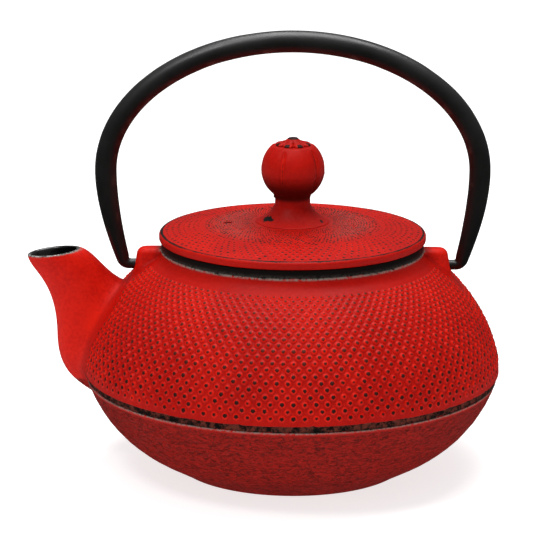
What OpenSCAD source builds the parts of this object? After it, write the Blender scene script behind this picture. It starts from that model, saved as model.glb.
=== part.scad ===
// Cast iron teapot with a bail handle, a domed lid on a cast knob, and a lift-out wire infuser.
// The origin is the centre of the foot, on the plane it stands on. The spout points to -X.

/* [Pot] */
// Radius of the pot at the lip above the band
body_r = 74.4; // [62:0.1:92]
// Height of the lip above the band
band_z = 35.4; // [30:0.1:42]
// Height of the plain band between the two halves of the pot
band_h = 2.6; // [1.5:0.1:4]
// How far the band lies behind the lip
band_step = 0.9; // [0.4:0.1:1.6]
// Radius of the shoulder's curve
shoulder_arc_r = 56.3; // [50:0.1:66]
// How far the centre of the shoulder's curve lies below the lip
shoulder_drop = 7.2; // [2:0.1:12]
// Radius of the curve under the band
belly_arc_r = 49; // [42:0.1:56]
// Radius of the flat foot
foot_r = 41.2; // [34:0.1:48]
// Slope of the underside where it leaves the foot, in degrees
foot_slope = 30.5; // [26:0.5:34]
// Thickness of the casting
wall = 4; // [3:0.1:5]

/* [Neck] */
// Outer radius of the neck
neck_r = 46.7; // [38:0.1:50]
// Wall of the neck
neck_wall = 4.2; // [3.4:0.1:5]
// Rise of the neck above the shoulder's curve
neck_rise = 5.7; // [5.5:0.1:9]
// Radius of the hollow where the shoulder turns up into the neck
neck_fillet = 5; // [3:0.1:5.5]
// Depth of the seat for the infuser below the top of the neck
seat_depth = 5.2; // [4:0.1:6.5]
// Width of that seat
seat_w = 3.5; // [2.5:0.1:5]

/* [Handle lugs] */
// How far the lugs stand out from the neck
lug_out = 9.5; // [8:0.1:12]
// Thickness of a lug
lug_t = 7.6; // [6:0.1:10]
// Height of the pivot above the shoulder
pivot_rise = 3.4; // [2.6:0.1:6]
// Metal over the pivot
lug_cover = 6.2; // [4:0.1:8]

/* [Spout] */
// How far the tip stands out beyond the pot
spout_out = 20.1; // [16:0.1:26]
// Height of the tip
spout_tip_z = 76.8; // [70:0.1:86]
// How much higher the lip near the pot is than the tip
mouth_rise = 2.2; // [0:0.1:4]
// Length of the mouth, from the tip to the lip near the pot
mouth_l = 18.7; // [15:0.1:22]
// Width of the mouth
mouth_w = 15.2; // [12:0.1:18]
// Half the width of the spout at its root
root_half_w = 10.5; // [8:0.1:13]
// Wall of the spout at its root
spout_wall = 2.6; // [2:0.1:3.2]
// Wall of the spout at the mouth
mouth_wall = 1.5; // [1.2:0.1:2.2]

/* [Lid] */
// How far the lid's rim overhangs the neck
lid_overhang = 0.8; // [0.4:0.1:2]
// Height of the rim
lid_rim_h = 2.6; // [2:0.1:4]
// Rise of the dome above the rim
lid_rise = 4.1; // [3:0.1:8]
// Thickness of the lid
lid_t = 3.2; // [2.4:0.1:4]
// Wall of the skirt
skirt_t = 3; // [2:0.1:4]
// Radius of the steam vent
vent_r = 1.5; // [1:0.1:2]
// Distance from the vent to the lid's centre
vent_x = 23; // [16:0.5:30]

/* [Knob] */
// Radius of the ball
knob_r = 11.3; // [9:0.1:13]
// Height of the ball's centre above the lid
knob_h = 18.8; // [16:0.1:22]
// Radius of the stem
stem_r = 6.3; // [5:0.1:8]
// Radius of the foot of the stem
stem_foot_r = 13.2; // [11:0.1:16]
// Radius of the flower on top of the ball
flower_r = 6.4; // [4:0.1:7]
// Radius of the rivet that holds the knob
rivet_r = 2.5; // [2:0.1:3]
// Depth of the rivet in the knob
rivet_depth = 12; // [8:0.5:14]

/* [Handle] */
// Half the width of the handle, to the middle of its tube
arch_half_w = 66.2; // [60:0.1:84]
// Rise of the arch above its widest level
arch_rise = 46.4; // [40:0.1:60]
// Height of the widest level above the pivots
arch_shoulder = 33.8; // [28:0.1:44]
// Radius of the tube
handle_r = 3.9; // [3:0.1:5]
// Radius of the pegs
peg_r = 1.8; // [1.5:0.1:2.2]

/* [Infuser] */
// Depth of the basket below its flange
basket_h = 48; // [36:0.5:58]
// Thickness of the flange
flange_t = 0.8; // [0.5:0.1:1]
// Height of the collar below the flange
collar_h = 8; // [5:0.5:12]
// Thickness of the mesh
mesh_t = 0.5; // [0.4:0.05:0.8]
// Thickness of the collar and the base ring
band_t = 0.5; // [0.4:0.05:0.8]
// Width of the strip over the mesh's seam
strip_w = 6; // [4:0.5:9]

/* [Clearances] */
// Between the rims of pieces that lift off
seat_gap = 0.1; // [0.05:0.05:0.3]
// Around the lid's skirt and the infuser's flange
loose_gap = 0.6; // [0.3:0.1:1]
// Between the lid's skirt and the infuser's flange
skirt_gap = 0.7; // [0.3:0.1:1]
// Around the pegs in the lugs
peg_gap = 0.1; // [0.05:0.01:0.1]
// Between pieces that are fastened to each other
touch_gap = 0.02; // [0.01:0.01:0.05]

/* [Hidden] */
$fn = 96;
red = [0.74, 0.09, 0.07];
iron = [0.12, 0.12, 0.12];
steel = [0.72, 0.73, 0.74];
reach = 400;  // longer than the whole teapot, for cutting tools
tiny = 0.01;

// Shoulder: one arc through the lip, whose centre lies shoulder_drop below it
shoulder_c = [body_r - sqrt(pow(shoulder_arc_r, 2) - pow(shoulder_drop, 2)), band_z - shoulder_drop];
function shoulder_z(r) = shoulder_c[1] + sqrt(pow(shoulder_arc_r, 2) - pow(r - shoulder_c[0], 2));

// Underside: a cone from the foot that runs tangent into an arc, which ends under the band
belly_top = [body_r - band_step, band_z - band_h];
cone_normal = [-sin(foot_slope), cos(foot_slope)];
belly_turn = acos(1 - (belly_top - [foot_r, 0]) * cone_normal / belly_arc_r);
belly_c = belly_top + belly_arc_r * [cos(90 + foot_slope + belly_turn), sin(90 + foot_slope + belly_turn)];
belly_start = belly_c - belly_arc_r * cone_normal;

// Neck, seat and lid, stacked upwards
neck_bore_r = neck_r - neck_wall;
throat_r = neck_bore_r - seat_w;
neck_top_z = shoulder_z(neck_r) + neck_rise;
fillet_c = [neck_r + neck_fillet,
            shoulder_c[1] + sqrt(pow(shoulder_arc_r + neck_fillet, 2)
                                 - pow(neck_r + neck_fillet - shoulder_c[0], 2))];
fillet_turn = atan2(fillet_c[1] - shoulder_c[1], fillet_c[0] - shoulder_c[0]);
seat_z = neck_top_z - seat_depth;
seat_t = 1.1;  // least metal under the seat
lid_r = neck_r + lid_overhang;
lid_z = neck_top_z + seat_gap;
skirt_h = seat_depth - flange_t - skirt_gap;
rim_round = 1.1;
dome_r = (pow(lid_r, 2) + pow(lid_rise, 2)) / (2 * lid_rise);
dome_top_z = lid_z + lid_rim_h + lid_rise;
dome_c = [0, dome_top_z - dome_r];
function dome_z(r) = dome_c[1] + sqrt(pow(dome_r, 2) - pow(r, 2));
function under_z(r) = dome_c[1] + sqrt(pow(dome_r - lid_t, 2) - pow(r, 2));

// Knob and its fixings
washer_r = 8;
washer_t = 1.2;
rivet_head_r = 5;
rivet_head_h = 1.6;
knob_c_z = dome_top_z + knob_h;
flower_z = knob_c_z + sqrt(pow(knob_r, 2) - pow(flower_r, 2));
flower_t = 1.2;
nub_r = 2.3;
nub_h = 2;
stem_fillet = 4.4;
stem_foot_t = 0.5;
washer_z = under_z(washer_r) - washer_t - touch_gap;

// Lugs and pivots
lug_r = neck_r + lug_out;
pivot_z = shoulder_z(lug_r) + pivot_rise;
lug_top_z = pivot_z + lug_cover;
lug_round = 2.4;
lug_lean = 1.1;  // the outer face leans out by this much above and below the pivot
bore_depth = 6.2;
bore_r = peg_r + peg_gap;
lid_room = 1;  // air between the lid's rim and a lug

// Spout: an outer and an inner edge in the plane y = 0, joined by oval sections
spout_steps = 14;
spout_sides = 20;
tip = [-(body_r + spout_out), spout_tip_z];
lip = tip + [mouth_l, mouth_rise];
belly_point = [-(body_r + 9.8), band_z + 12];
outer_low = [[-(body_r - 11.2), band_z - 14.5], [-(body_r + 2.2), band_z - 5.9],
             [-(body_r + 9.5), band_z - 3.7], belly_point];
outer_high = [belly_point, belly_point + [0, 20.6], tip + [0.8, -6.2], tip];
inner_edge = [[-(lug_r - 6), shoulder_z(lug_r) - 3.2], [-(lug_r + 8.4), shoulder_z(lug_r) - 7.1],
              lip + [6.8, -0.6], lip];
channel_over = 0.04;  // how far the channel runs on past the mouth

// Infuser
flange_r = neck_bore_r - loose_gap;
flange_z = seat_z + seat_gap;
collar_r = throat_r - loose_gap;
mesh_r = collar_r - band_t - touch_gap;
basket_z = flange_z - basket_h;
base_lip = 3;
base_ring_h = 3;
mesh_tuck = 2;  // how far the mesh reaches up inside the collar

function bezier2(p, t) = pow(1 - t, 2) * p[0] + 2 * t * (1 - t) * p[1] + t * t * p[2];
function bezier3(p, t) = pow(1 - t, 3) * p[0] + 3 * t * pow(1 - t, 2) * p[1]
                       + 3 * t * t * (1 - t) * p[2] + pow(t, 3) * p[3];
function mix(a, b, t) = a + (b - a) * t;

// A closed skin over rings that all have the same number of points
module skin(rings) {
    sides = len(rings[0]);
    last = len(rings) - 1;
    points = [for (ring = rings) for (p = ring) p];
    walls = [for (i = [0:last - 1]) for (j = [0:sides - 1])
             [i * sides + j, i * sides + (j + 1) % sides,
              (i + 1) * sides + (j + 1) % sides, (i + 1) * sides + j]];
    first_cap = [[for (j = [sides - 1:-1:0]) j]];
    last_cap = [[for (j = [0:sides - 1]) last * sides + j]];
    polyhedron(points, concat(walls, first_cap, last_cap), convexity = 6);
}

// One oval section of the spout; t runs from the root to the mouth, inset moves it inwards
function spout_outer(t) = t < 0.5 ? bezier3(outer_low, 2 * t) : bezier3(outer_high, 2 * t - 1);
function spout_half_w(t) = mix(root_half_w, mouth_w / 2, min(1, t * 1.6));
function spout_ring(t, inset) =
    let (o = spout_outer(t), i = bezier3(inner_edge, t), c = (o + i) / 2,
         half = norm(o - i) / 2, u = (o - i) / norm(o - i))
    [for (k = [0:spout_sides - 1]) let (a = 360 * k / spout_sides)
     [c[0] + u[0] * (half - inset) * cos(a), (spout_half_w(t) - inset) * sin(a),
      c[1] + u[1] * (half - inset) * cos(a)]];

module spout_outside() {
    skin([for (n = [0:spout_steps]) spout_ring(n / spout_steps, 0)]);
}

module spout_channel() {
    skin([for (n = [0:spout_steps + 1])
          let (t = n <= spout_steps ? n / spout_steps : 1 + channel_over)
          spout_ring(t, mix(spout_wall, mouth_wall, t))]);
}

// Points along an arc, from angle a to angle b
function arc(c, r, a, b, steps) =
    [for (n = [0:steps]) let (t = mix(a, b, n / steps)) c + r * [cos(t), sin(t)]];

// The pot's outline, from the middle of the foot round to the top of the neck
module pot_outline() {
    polygon(concat(
        [[0, 0], [foot_r, 0]],
        arc(belly_c, belly_arc_r, foot_slope - 90, foot_slope - 90 + belly_turn, 10),
        [[belly_top[0], band_z]],
        arc(shoulder_c, shoulder_arc_r, asin(shoulder_drop / shoulder_arc_r), fillet_turn, 18),
        arc(fillet_c, neck_fillet, fillet_turn + 180, 180, 5),
        [[neck_r, neck_top_z], [0, neck_top_z]]));
}

// The hollow inside, one wall in from the outline, with the throat, the seat and the neck's bore
module pot_hollow() {
    inner_r = shoulder_arc_r - wall;
    inner_start = belly_start + wall * cone_normal;
    floor_r = inner_start[0] - (inner_start[1] - wall) / tan(foot_slope);
    throat_turn = acos((throat_r - shoulder_c[0]) / inner_r);
    seat_turn = asin((seat_z - seat_t - shoulder_c[1]) / inner_r);
    under_seat = seat_turn < throat_turn ? [[throat_r, seat_z - seat_t]] : [];
    polygon(concat(
        [[0, wall], [floor_r, wall]],
        arc(belly_c, belly_arc_r - wall, foot_slope - 90, foot_slope - 90 + belly_turn, 8),
        arc(shoulder_c, inner_r, asin(shoulder_drop / inner_r), min(throat_turn, seat_turn), 14),
        under_seat,
        [[throat_r, seat_z], [neck_bore_r, seat_z], [neck_bore_r, neck_top_z + 1], [0, neck_top_z + 1]]));
}

// An ear on the shoulder: its side view, with a leaning outer face, cut to its rounded end view,
// and kept clear of the lid's rim
module lug() {
    base_z = shoulder_z(lug_r) - 6;
    difference() {
        intersection() {
            translate([0, lug_t / 2, 0]) rotate([90, 0, 0]) linear_extrude(lug_t)
                polygon(concat([[0, base_z], [lug_r + lug_lean, base_z]],
                               arc([lug_r - lug_lean - lug_round, lug_top_z - lug_round],
                                   lug_round, 0, 90, 6),
                               [[0, lug_top_z]]));
            rotate([90, 0, 90]) linear_extrude(reach)
                polygon(concat([[-lug_t / 2, base_z], [lug_t / 2, base_z]],
                               arc([lug_t / 2 - lug_round, lug_top_z - lug_round], lug_round, 0, 90, 6),
                               arc([lug_round - lug_t / 2, lug_top_z - lug_round], lug_round, 90, 180, 6)));
        }
        translate([0, 0, neck_top_z - 2]) cylinder(h = reach, r = lid_r + lid_room);
    }
}

// The casting is one piece of iron. It is told in three open nodes, so that each can be hollow in
// collision: they part under the band and where the spout leaves the pot's outline.
module pot_room() {
    rotate_extrude() pot_hollow();
    spout_channel();
}

module pot_belly() {
    color(red) difference() {
        intersection() {
            rotate_extrude() pot_outline();
            translate([-reach / 2, -reach / 2, 0]) cube([reach, reach, belly_top[1] - touch_gap]);
        }
        pot_room();
    }
}

module pot_shoulder() {
    color(red) difference() {
        union() {
            intersection() {
                rotate_extrude() pot_outline();
                translate([-reach / 2, -reach / 2, belly_top[1]]) cube([reach, reach, reach]);
            }
            for (turn = [0, 180]) rotate(turn) lug();
        }
        pot_room();
        for (turn = [0, 180]) rotate(turn)
            translate([lug_r - bore_depth, 0, pivot_z]) rotate([0, 90, 0])
                cylinder(h = bore_depth + 1, r = bore_r);
    }
}

module pot_spout() {
    color(red) difference() {
        spout_outside();
        rotate_extrude() intersection() {
            offset(delta = touch_gap) pot_outline();
            translate([0, -reach / 2]) square(reach);
        }
        spout_channel();
    }
}

module lid() {
    skirt_r = neck_bore_r - loose_gap;
    hollow_r = skirt_r - skirt_t;
    round_c = lid_r - rim_round;
    steps = 12;
    color(red) difference() {
        rotate_extrude() polygon(concat(
            [for (n = [0:steps]) let (r = round_c * n / steps) [r, dome_z(r)]],
            arc([round_c, dome_z(round_c) - rim_round], rim_round, 80, 0, 4),
            arc([round_c, lid_z + rim_round], rim_round, 0, -90, 4),
            [[skirt_r, lid_z], [skirt_r, lid_z - skirt_h], [hollow_r, lid_z - skirt_h]],
            [for (n = [steps:-1:0]) let (r = hollow_r * n / steps) [r, under_z(r)]]));
        translate([-vent_x, 0, lid_z - 1]) cylinder(h = lid_rise + lid_rim_h + 2, r = vent_r);
        translate([0, 0, lid_z - 1]) cylinder(h = lid_rise + lid_rim_h + 2, r = rivet_r + touch_gap);
    }
}

module lid_knob() {
    edge_z = dome_z(stem_foot_r) + stem_foot_t;
    foot_steps = 4;
    color(red) difference() {
        rotate_extrude() {
            polygon(concat(
                [for (n = [0:foot_steps]) let (r = stem_foot_r * n / foot_steps) [r, dome_z(r) + touch_gap]],
                [[stem_foot_r, edge_z]],
                arc([stem_r + stem_fillet, edge_z + stem_fillet], stem_fillet, 270, 180, 6),
                [[stem_r, knob_c_z], [0, knob_c_z]]));
            intersection() {
                translate([0, knob_c_z]) circle(knob_r);
                translate([0, knob_c_z - knob_r]) square([knob_r, flower_z - knob_c_z + knob_r]);
            }
            translate([0, flower_z - flower_t]) square([flower_r, flower_t]);
            translate([0, flower_z - tiny]) square([nub_r, nub_h + tiny]);
        }
        translate([0, 0, lid_z]) cylinder(h = dome_top_z - lid_z + rivet_depth, r = rivet_r + touch_gap);
    }
}

module knob_washer() {
    color(steel) translate([0, 0, washer_z]) difference() {
        cylinder(h = washer_t, r = washer_r);
        translate([0, 0, -1]) cylinder(h = washer_t + 2, r = rivet_r + touch_gap);
    }
}

module knob_rivet() {
    head_z = washer_z - touch_gap - rivet_head_h;
    shank_l = dome_top_z + rivet_depth - touch_gap - head_z;
    color(steel) translate([0, 0, head_z]) {
        cylinder(h = rivet_head_h / 2, r1 = 0.7 * rivet_head_r, r2 = rivet_head_r);
        translate([0, 0, rivet_head_h / 2]) cylinder(h = rivet_head_h / 2, r = rivet_head_r);
        cylinder(h = shank_l, r = rivet_r);
    }
}

// The middle line of the handle's right half: arch, leg and hook, from the top down
arch_z = pivot_z + arch_shoulder;
hook_start = [lug_r + 4.4, pivot_z + 2.6];
hook_end = [lug_r + 1.4, pivot_z];
leg = [[arch_half_w, arch_z], [arch_half_w, arch_z - 12.5], hook_start];
hook = [hook_start, [lug_r + 3.9, pivot_z], hook_end];
arch_steps = 14;
leg_steps = 6;
hook_steps = 4;
handle_sides = 16;
hook_r = 2.4;
half_line = concat(
    [for (n = [0:arch_steps]) let (a = 90 * n / arch_steps)
     [arch_half_w * sin(a), arch_z + arch_rise * cos(a), handle_r]],
    [for (n = [1:leg_steps]) let (t = n / leg_steps, p = bezier2(leg, t))
     [p[0], p[1], mix(handle_r, hook_r, pow(t, 2))]],
    [for (n = [1:hook_steps]) let (t = n / hook_steps, p = bezier2(hook, t))
     [p[0], p[1], mix(hook_r, peg_r, t)]]);
whole_line = concat([for (n = [len(half_line) - 1:-1:1])
                         [-half_line[n][0], half_line[n][1], half_line[n][2]]],
                    half_line);

// Direction of the middle line at one of its points, flat along X at the two pegs
function along(n) =
    n == 0 ? [-1, 0] : n == len(whole_line) - 1 ? [-1, 0] :
    let (d = [whole_line[n + 1][0] - whole_line[n - 1][0], whole_line[n + 1][1] - whole_line[n - 1][1]])
    d / norm(d);
function tube_ring(n) =
    let (d = along(n), p = whole_line[n])
    [for (k = [0:handle_sides - 1]) let (a = 360 * k / handle_sides)
     [p[0] - d[1] * p[2] * cos(a), p[2] * sin(a), p[1] + d[0] * p[2] * cos(a)]];

module bail_handle() {
    peg_l = bore_depth + hook_end[0] - lug_r - 0.5;
    color(iron) {
        skin([for (n = [0:len(whole_line) - 1]) tube_ring(n)]);
        for (turn = [0, 180]) rotate(turn)
            translate([hook_end[0] - peg_l, 0, pivot_z]) rotate([0, 90, 0])
                cylinder(h = peg_l + 0.6, r = peg_r);
    }
}

module tube(z, h, outer, inner) {
    translate([0, 0, z]) difference() {
        cylinder(h = h, r = outer);
        translate([0, 0, -1]) cylinder(h = h + 2, r = inner);
    }
}

module infuser_rim() {
    color(steel) {
        tube(flange_z, flange_t, flange_r, collar_r - band_t);
        tube(flange_z - collar_h, collar_h + tiny, collar_r, collar_r - band_t);
    }
}

module infuser_wall() {
    bottom_z = basket_z + band_t + touch_gap;
    color(steel) tube(bottom_z, flange_z - collar_h + mesh_tuck - bottom_z, mesh_r, mesh_r - mesh_t);
}

module infuser_seam_strip() {
    low_z = basket_z + base_ring_h + touch_gap;
    high_z = flange_z - collar_h - touch_gap;
    color(steel) intersection() {
        tube(low_z, high_z - low_z, mesh_r + touch_gap + band_t, mesh_r + touch_gap);
        translate([-strip_w / 2, 0, 0]) cube([strip_w, reach, reach]);
    }
}

module infuser_base_ring() {
    color(steel) {
        tube(basket_z, base_ring_h, collar_r, collar_r - band_t);
        tube(basket_z, band_t, collar_r, collar_r - base_lip);
    }
}

module infuser_base_mesh() {
    color(steel) translate([0, 0, basket_z + band_t + touch_gap])
        cylinder(h = mesh_t, r = mesh_r - mesh_t - touch_gap);
}

pot_belly();
pot_shoulder();
pot_spout();
lid();
lid_knob();
knob_washer();
knob_rivet();
bail_handle();
infuser_rim();
infuser_wall();
infuser_seam_strip();
infuser_base_ring();
infuser_base_mesh();
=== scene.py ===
# Cast iron teapot with hobnails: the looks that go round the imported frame
import math
import bpy
import numpy as np
from mathutils import Matrix, Vector


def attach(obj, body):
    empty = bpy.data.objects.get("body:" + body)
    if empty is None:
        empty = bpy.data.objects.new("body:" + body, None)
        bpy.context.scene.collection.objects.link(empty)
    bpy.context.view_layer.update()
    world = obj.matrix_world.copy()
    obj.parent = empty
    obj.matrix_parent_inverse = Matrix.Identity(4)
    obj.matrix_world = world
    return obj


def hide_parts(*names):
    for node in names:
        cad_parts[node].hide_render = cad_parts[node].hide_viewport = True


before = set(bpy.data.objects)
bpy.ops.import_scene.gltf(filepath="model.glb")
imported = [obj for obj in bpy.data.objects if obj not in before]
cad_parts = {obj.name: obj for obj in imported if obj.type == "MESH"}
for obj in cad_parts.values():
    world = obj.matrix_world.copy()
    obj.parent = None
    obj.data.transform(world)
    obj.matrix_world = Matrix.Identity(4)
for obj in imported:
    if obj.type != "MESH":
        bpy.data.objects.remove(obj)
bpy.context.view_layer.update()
print("frame loaded")

mm = 0.001
turn = 2 * math.pi


# helpers for arrays; all lengths are in mm

def latticeValue(ix, iy, iz, seed):
    # three whole numbers mixed into one repeatable number from -1 to 1
    h = (ix * 374761393 + iy * 668265263 + iz * 1440662683 + seed * 974634777) & 0xffffffff
    h = ((h ^ (h >> 13)) * 1274126177) & 0xffffffff
    return ((h ^ (h >> 16)) & 0xffff) / 32767.5 - 1


def castNoise(points, cell, seed=0):
    # value noise: the eight lattice values round a point, blended by 3w^2 - 2w^3 along each axis
    place = np.asarray(points, float) / cell
    base = np.floor(place).astype(np.int64)
    w = place - base
    w = w * w * (3 - 2 * w)
    total = np.zeros(place.shape[:-1])
    for corner in range(8):
        step = np.array([(corner >> axis) & 1 for axis in range(3)])
        share = np.where(step, w, 1 - w).prod(-1)
        total += share * latticeValue(*np.moveaxis(base + step, -1, 0), seed)
    return total


def smoothStep(low, high, value):
    # 0 at low and 1 at high, with 3t^2 - 2t^3 between them; low may be the larger
    t = np.clip((value - low) / (high - low), 0, 1)
    return t * t * (3 - 2 * t)


def blendTo(a, b, t):
    # a straight line from a to b
    return a + (b - a) * t


def bezier(points, t):
    # Bernstein sum of four control points
    p = np.asarray(points, float)
    t = np.asarray(t, float)[..., None]
    return ((1 - t) ** 3 * p[0] + 3 * t * (1 - t) ** 2 * p[1]
            + 3 * t * t * (1 - t) * p[2] + t ** 3 * p[3])


def arcPoints(centre, radius, start, end, steps):
    # points on a circle, angles in degrees
    a = np.radians(np.linspace(start, end, steps + 1))
    return np.stack([centre[0] + radius * np.cos(a), centre[1] + radius * np.sin(a)], -1)


def softCorners(corners, steps=4):
    # each corner (r, z, softness) becomes a parabola that leaves and meets its two sides at that distance
    c = np.asarray(corners, float)
    p, soft = c[:, :2], c[:, 2:]
    back = np.roll(p, 1, 0) - p
    ahead = np.roll(p, -1, 0) - p
    a = p + soft * back / np.linalg.norm(back, axis=1, keepdims=True)
    b = p + soft * ahead / np.linalg.norm(ahead, axis=1, keepdims=True)
    t = np.linspace(0, 1, steps + 1)[None, :, None]
    return ((1 - t) ** 2 * a[:, None] + 2 * t * (1 - t) * p[:, None] + t * t * b[:, None]).reshape(-1, 2)


def gridFaces(rows, columns, closedRows=False):
    # quads of a grid that closes round its columns, and round its rows too if asked
    i, j = np.meshgrid(np.arange(rows if closedRows else rows - 1), np.arange(columns), indexing="ij")
    up, right = (i + 1) % rows, (j + 1) % columns
    return np.stack([i * columns + j, i * columns + right, up * columns + right, up * columns + j],
                    -1).reshape(-1, 4)


def closedSkin(rings, firstPole, lastPole):
    # rings of equal count, shut at both ends by a fan to a pole
    rows, columns = rings.shape[:2]
    points = np.concatenate([rings.reshape(-1, 3), [firstPole, lastPole]])
    j = np.arange(columns)
    k = (j + 1) % columns
    last = (rows - 1) * columns
    fans = np.concatenate([np.stack([k, j, np.full(columns, rows * columns)], 1),
                           np.stack([last + j, last + k, np.full(columns, rows * columns + 1)], 1)])
    return points, [gridFaces(rows, columns), fans]


def turned(profile, sides):
    # a profile (r, z) turned about the Z axis: x = r cos a, y = r sin a
    profile = np.asarray(profile, float)
    a = turn * np.arange(sides) / sides
    r, z = profile[:, :1], profile[:, 1:]
    return np.stack([r * np.cos(a), r * np.sin(a), z + 0 * a], -1)


def turnedSolid(profile, sides):
    # the profile starts and ends on the axis
    rings = turned(profile[1:-1], sides)
    return closedSkin(rings, [0, 0, profile[0][1]], [0, 0, profile[-1][1]])


def turnedRing(profile, sides):
    # the profile is a closed loop away from the axis
    rings = turned(profile, sides)
    return rings.reshape(-1, 3), [gridFaces(len(profile), sides, True)]


def meshObject(name, points, faceGroups, materials=(), slots=None, attributes=None):
    # points in mm; each face group has its own number of corners
    mesh = bpy.data.meshes.new(name)
    mesh.vertices.add(len(points))
    mesh.vertices.foreach_set("co", (np.asarray(points) * mm).astype(np.float32).ravel())
    sides = np.concatenate([np.full(len(g), g.shape[1]) for g in faceGroups])
    corners = np.concatenate([g.ravel() for g in faceGroups])
    mesh.loops.add(len(corners))
    mesh.loops.foreach_set("vertex_index", corners.astype(np.int32))
    mesh.polygons.add(len(sides))
    mesh.polygons.foreach_set("loop_start", np.concatenate([[0], np.cumsum(sides)[:-1]]).astype(np.int32))
    for material in materials:
        mesh.materials.append(material)
    if slots is not None:
        mesh.polygons.foreach_set("material_index", np.asarray(slots, np.int32))
    mesh.update(calc_edges=True)
    mesh.validate()
    mesh.polygons.foreach_set("use_smooth", np.full(len(mesh.polygons), True))
    for key, values in (attributes or {}).items():
        mesh.attributes.new(key, "FLOAT", "POINT").data.foreach_set("value", values.astype(np.float32))
    piece = bpy.data.objects.new(name, mesh)
    bpy.context.scene.collection.objects.link(piece)
    return piece


def pointsOf(piece):
    # a piece's points, back in mm
    co = np.zeros(len(piece.data.vertices) * 3, np.float32)
    piece.data.vertices.foreach_get("co", co)
    return co.reshape(-1, 3).astype(float) / mm


def setAttribute(piece, key, values):
    layer = piece.data.attributes.get(key) or piece.data.attributes.new(key, "FLOAT", "POINT")
    layer.data.foreach_set("value", np.asarray(values, np.float32))


def joinSolids(piece, operations):
    # unites or cuts with each tool in turn, then keeps the result as the piece's own mesh
    for number, (operation, tool) in enumerate(operations):
        cut = piece.modifiers.new("join%d" % number, "BOOLEAN")
        cut.operation, cut.object, cut.solver = operation, tool, "MANIFOLD"
    evaluated = piece.evaluated_get(bpy.context.evaluated_depsgraph_get())
    result = bpy.data.meshes.new_from_object(evaluated)
    piece.modifiers.clear()
    piece.data = result
    for operation, tool in operations:
        bpy.data.objects.remove(tool)


def sharpenBy(piece, degrees):
    piece.data.set_sharp_from_angle(angle=math.radians(degrees))


def belongs(piece, body, slot, *nodes):
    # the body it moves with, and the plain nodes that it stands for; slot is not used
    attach(piece, body)
    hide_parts(*nodes)


# materials

def newMaterial(name):
    material = bpy.data.materials.new(name)
    material.use_nodes = True
    tree = material.node_tree
    tree.nodes.clear()
    output = tree.nodes.new("ShaderNodeOutputMaterial")
    shader = tree.nodes.new("ShaderNodeBsdfPrincipled")
    tree.links.new(shader.outputs[0], output.inputs["Surface"])
    return material, tree, shader


class Wiring:
    # shorthands for the nodes that the finishes share
    def __init__(self, tree):
        self.tree = tree
        self.coordinates = tree.nodes.new("ShaderNodeTexCoord").outputs["Object"]

    def node(self, kind, **inputs):
        made = self.tree.nodes.new(kind)
        for key, value in inputs.items():
            self.feed(made.inputs[key], value)
        return made

    def feed(self, socket, value):
        if isinstance(value, bpy.types.NodeSocket):
            self.tree.links.new(value, socket)
        else:
            socket.default_value = value

    def feedAll(self, sockets, values):
        for socket, value in zip(sockets, values):
            self.feed(socket, value)

    def noise(self, scale, detail=2.0, roughness=0.5, stretch=None, distortion=0.0):
        vector = self.coordinates
        if stretch:
            vector = self.node("ShaderNodeMapping", Vector=vector, Scale=stretch).outputs[0]
        return self.node("ShaderNodeTexNoise", Vector=vector, Scale=scale, Detail=detail,
                         Roughness=roughness, Distortion=distortion).outputs["Fac"]

    def maths(self, operation, a, b):
        made = self.tree.nodes.new("ShaderNodeMath")
        made.operation = operation
        self.feedAll(made.inputs, (a, b))
        return made.outputs[0]

    def plus(self, a, b):
        return self.maths("ADD", a, b)

    def times(self, a, b):
        return self.maths("MULTIPLY", a, b)

    def ramp(self, value, low, high, toLow=0.0, toHigh=1.0):
        # the same curve as smoothStep, from toLow to toHigh
        made = self.tree.nodes.new("ShaderNodeMapRange")
        made.interpolation_type = "SMOOTHSTEP"
        self.feedAll(made.inputs, (value, low, high, toLow, toHigh))
        return made.outputs[0]

    def mix(self, factor, a, b):
        made = self.tree.nodes.new("ShaderNodeMix")
        made.data_type = "RGBA"
        self.feed(made.inputs[0], factor)
        self.feed(made.inputs[6], a)
        self.feed(made.inputs[7], b)
        return made.outputs[2]

    def attribute(self, key):
        made = self.tree.nodes.new("ShaderNodeAttribute")
        made.attribute_name = key
        return made.outputs["Fac"]

    def height(self):
        return self.node("ShaderNodeSeparateXYZ", Vector=self.coordinates).outputs["Z"]

    def bump(self, height, distance, strength):
        return self.node("ShaderNodeBump", Height=height, Distance=distance, Strength=strength).outputs[0]


def rgb(*values):
    # screen values 0 to 255 to linear light
    def linear(c):
        return c / 255 / 12.92 if c < 10.3 else ((c / 255 + 0.055) / 1.055) ** 2.4
    return tuple(linear(c) for c in values) + (1.0,)


def grey(shade):
    return (shade,) * 3 + (1,)


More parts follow.
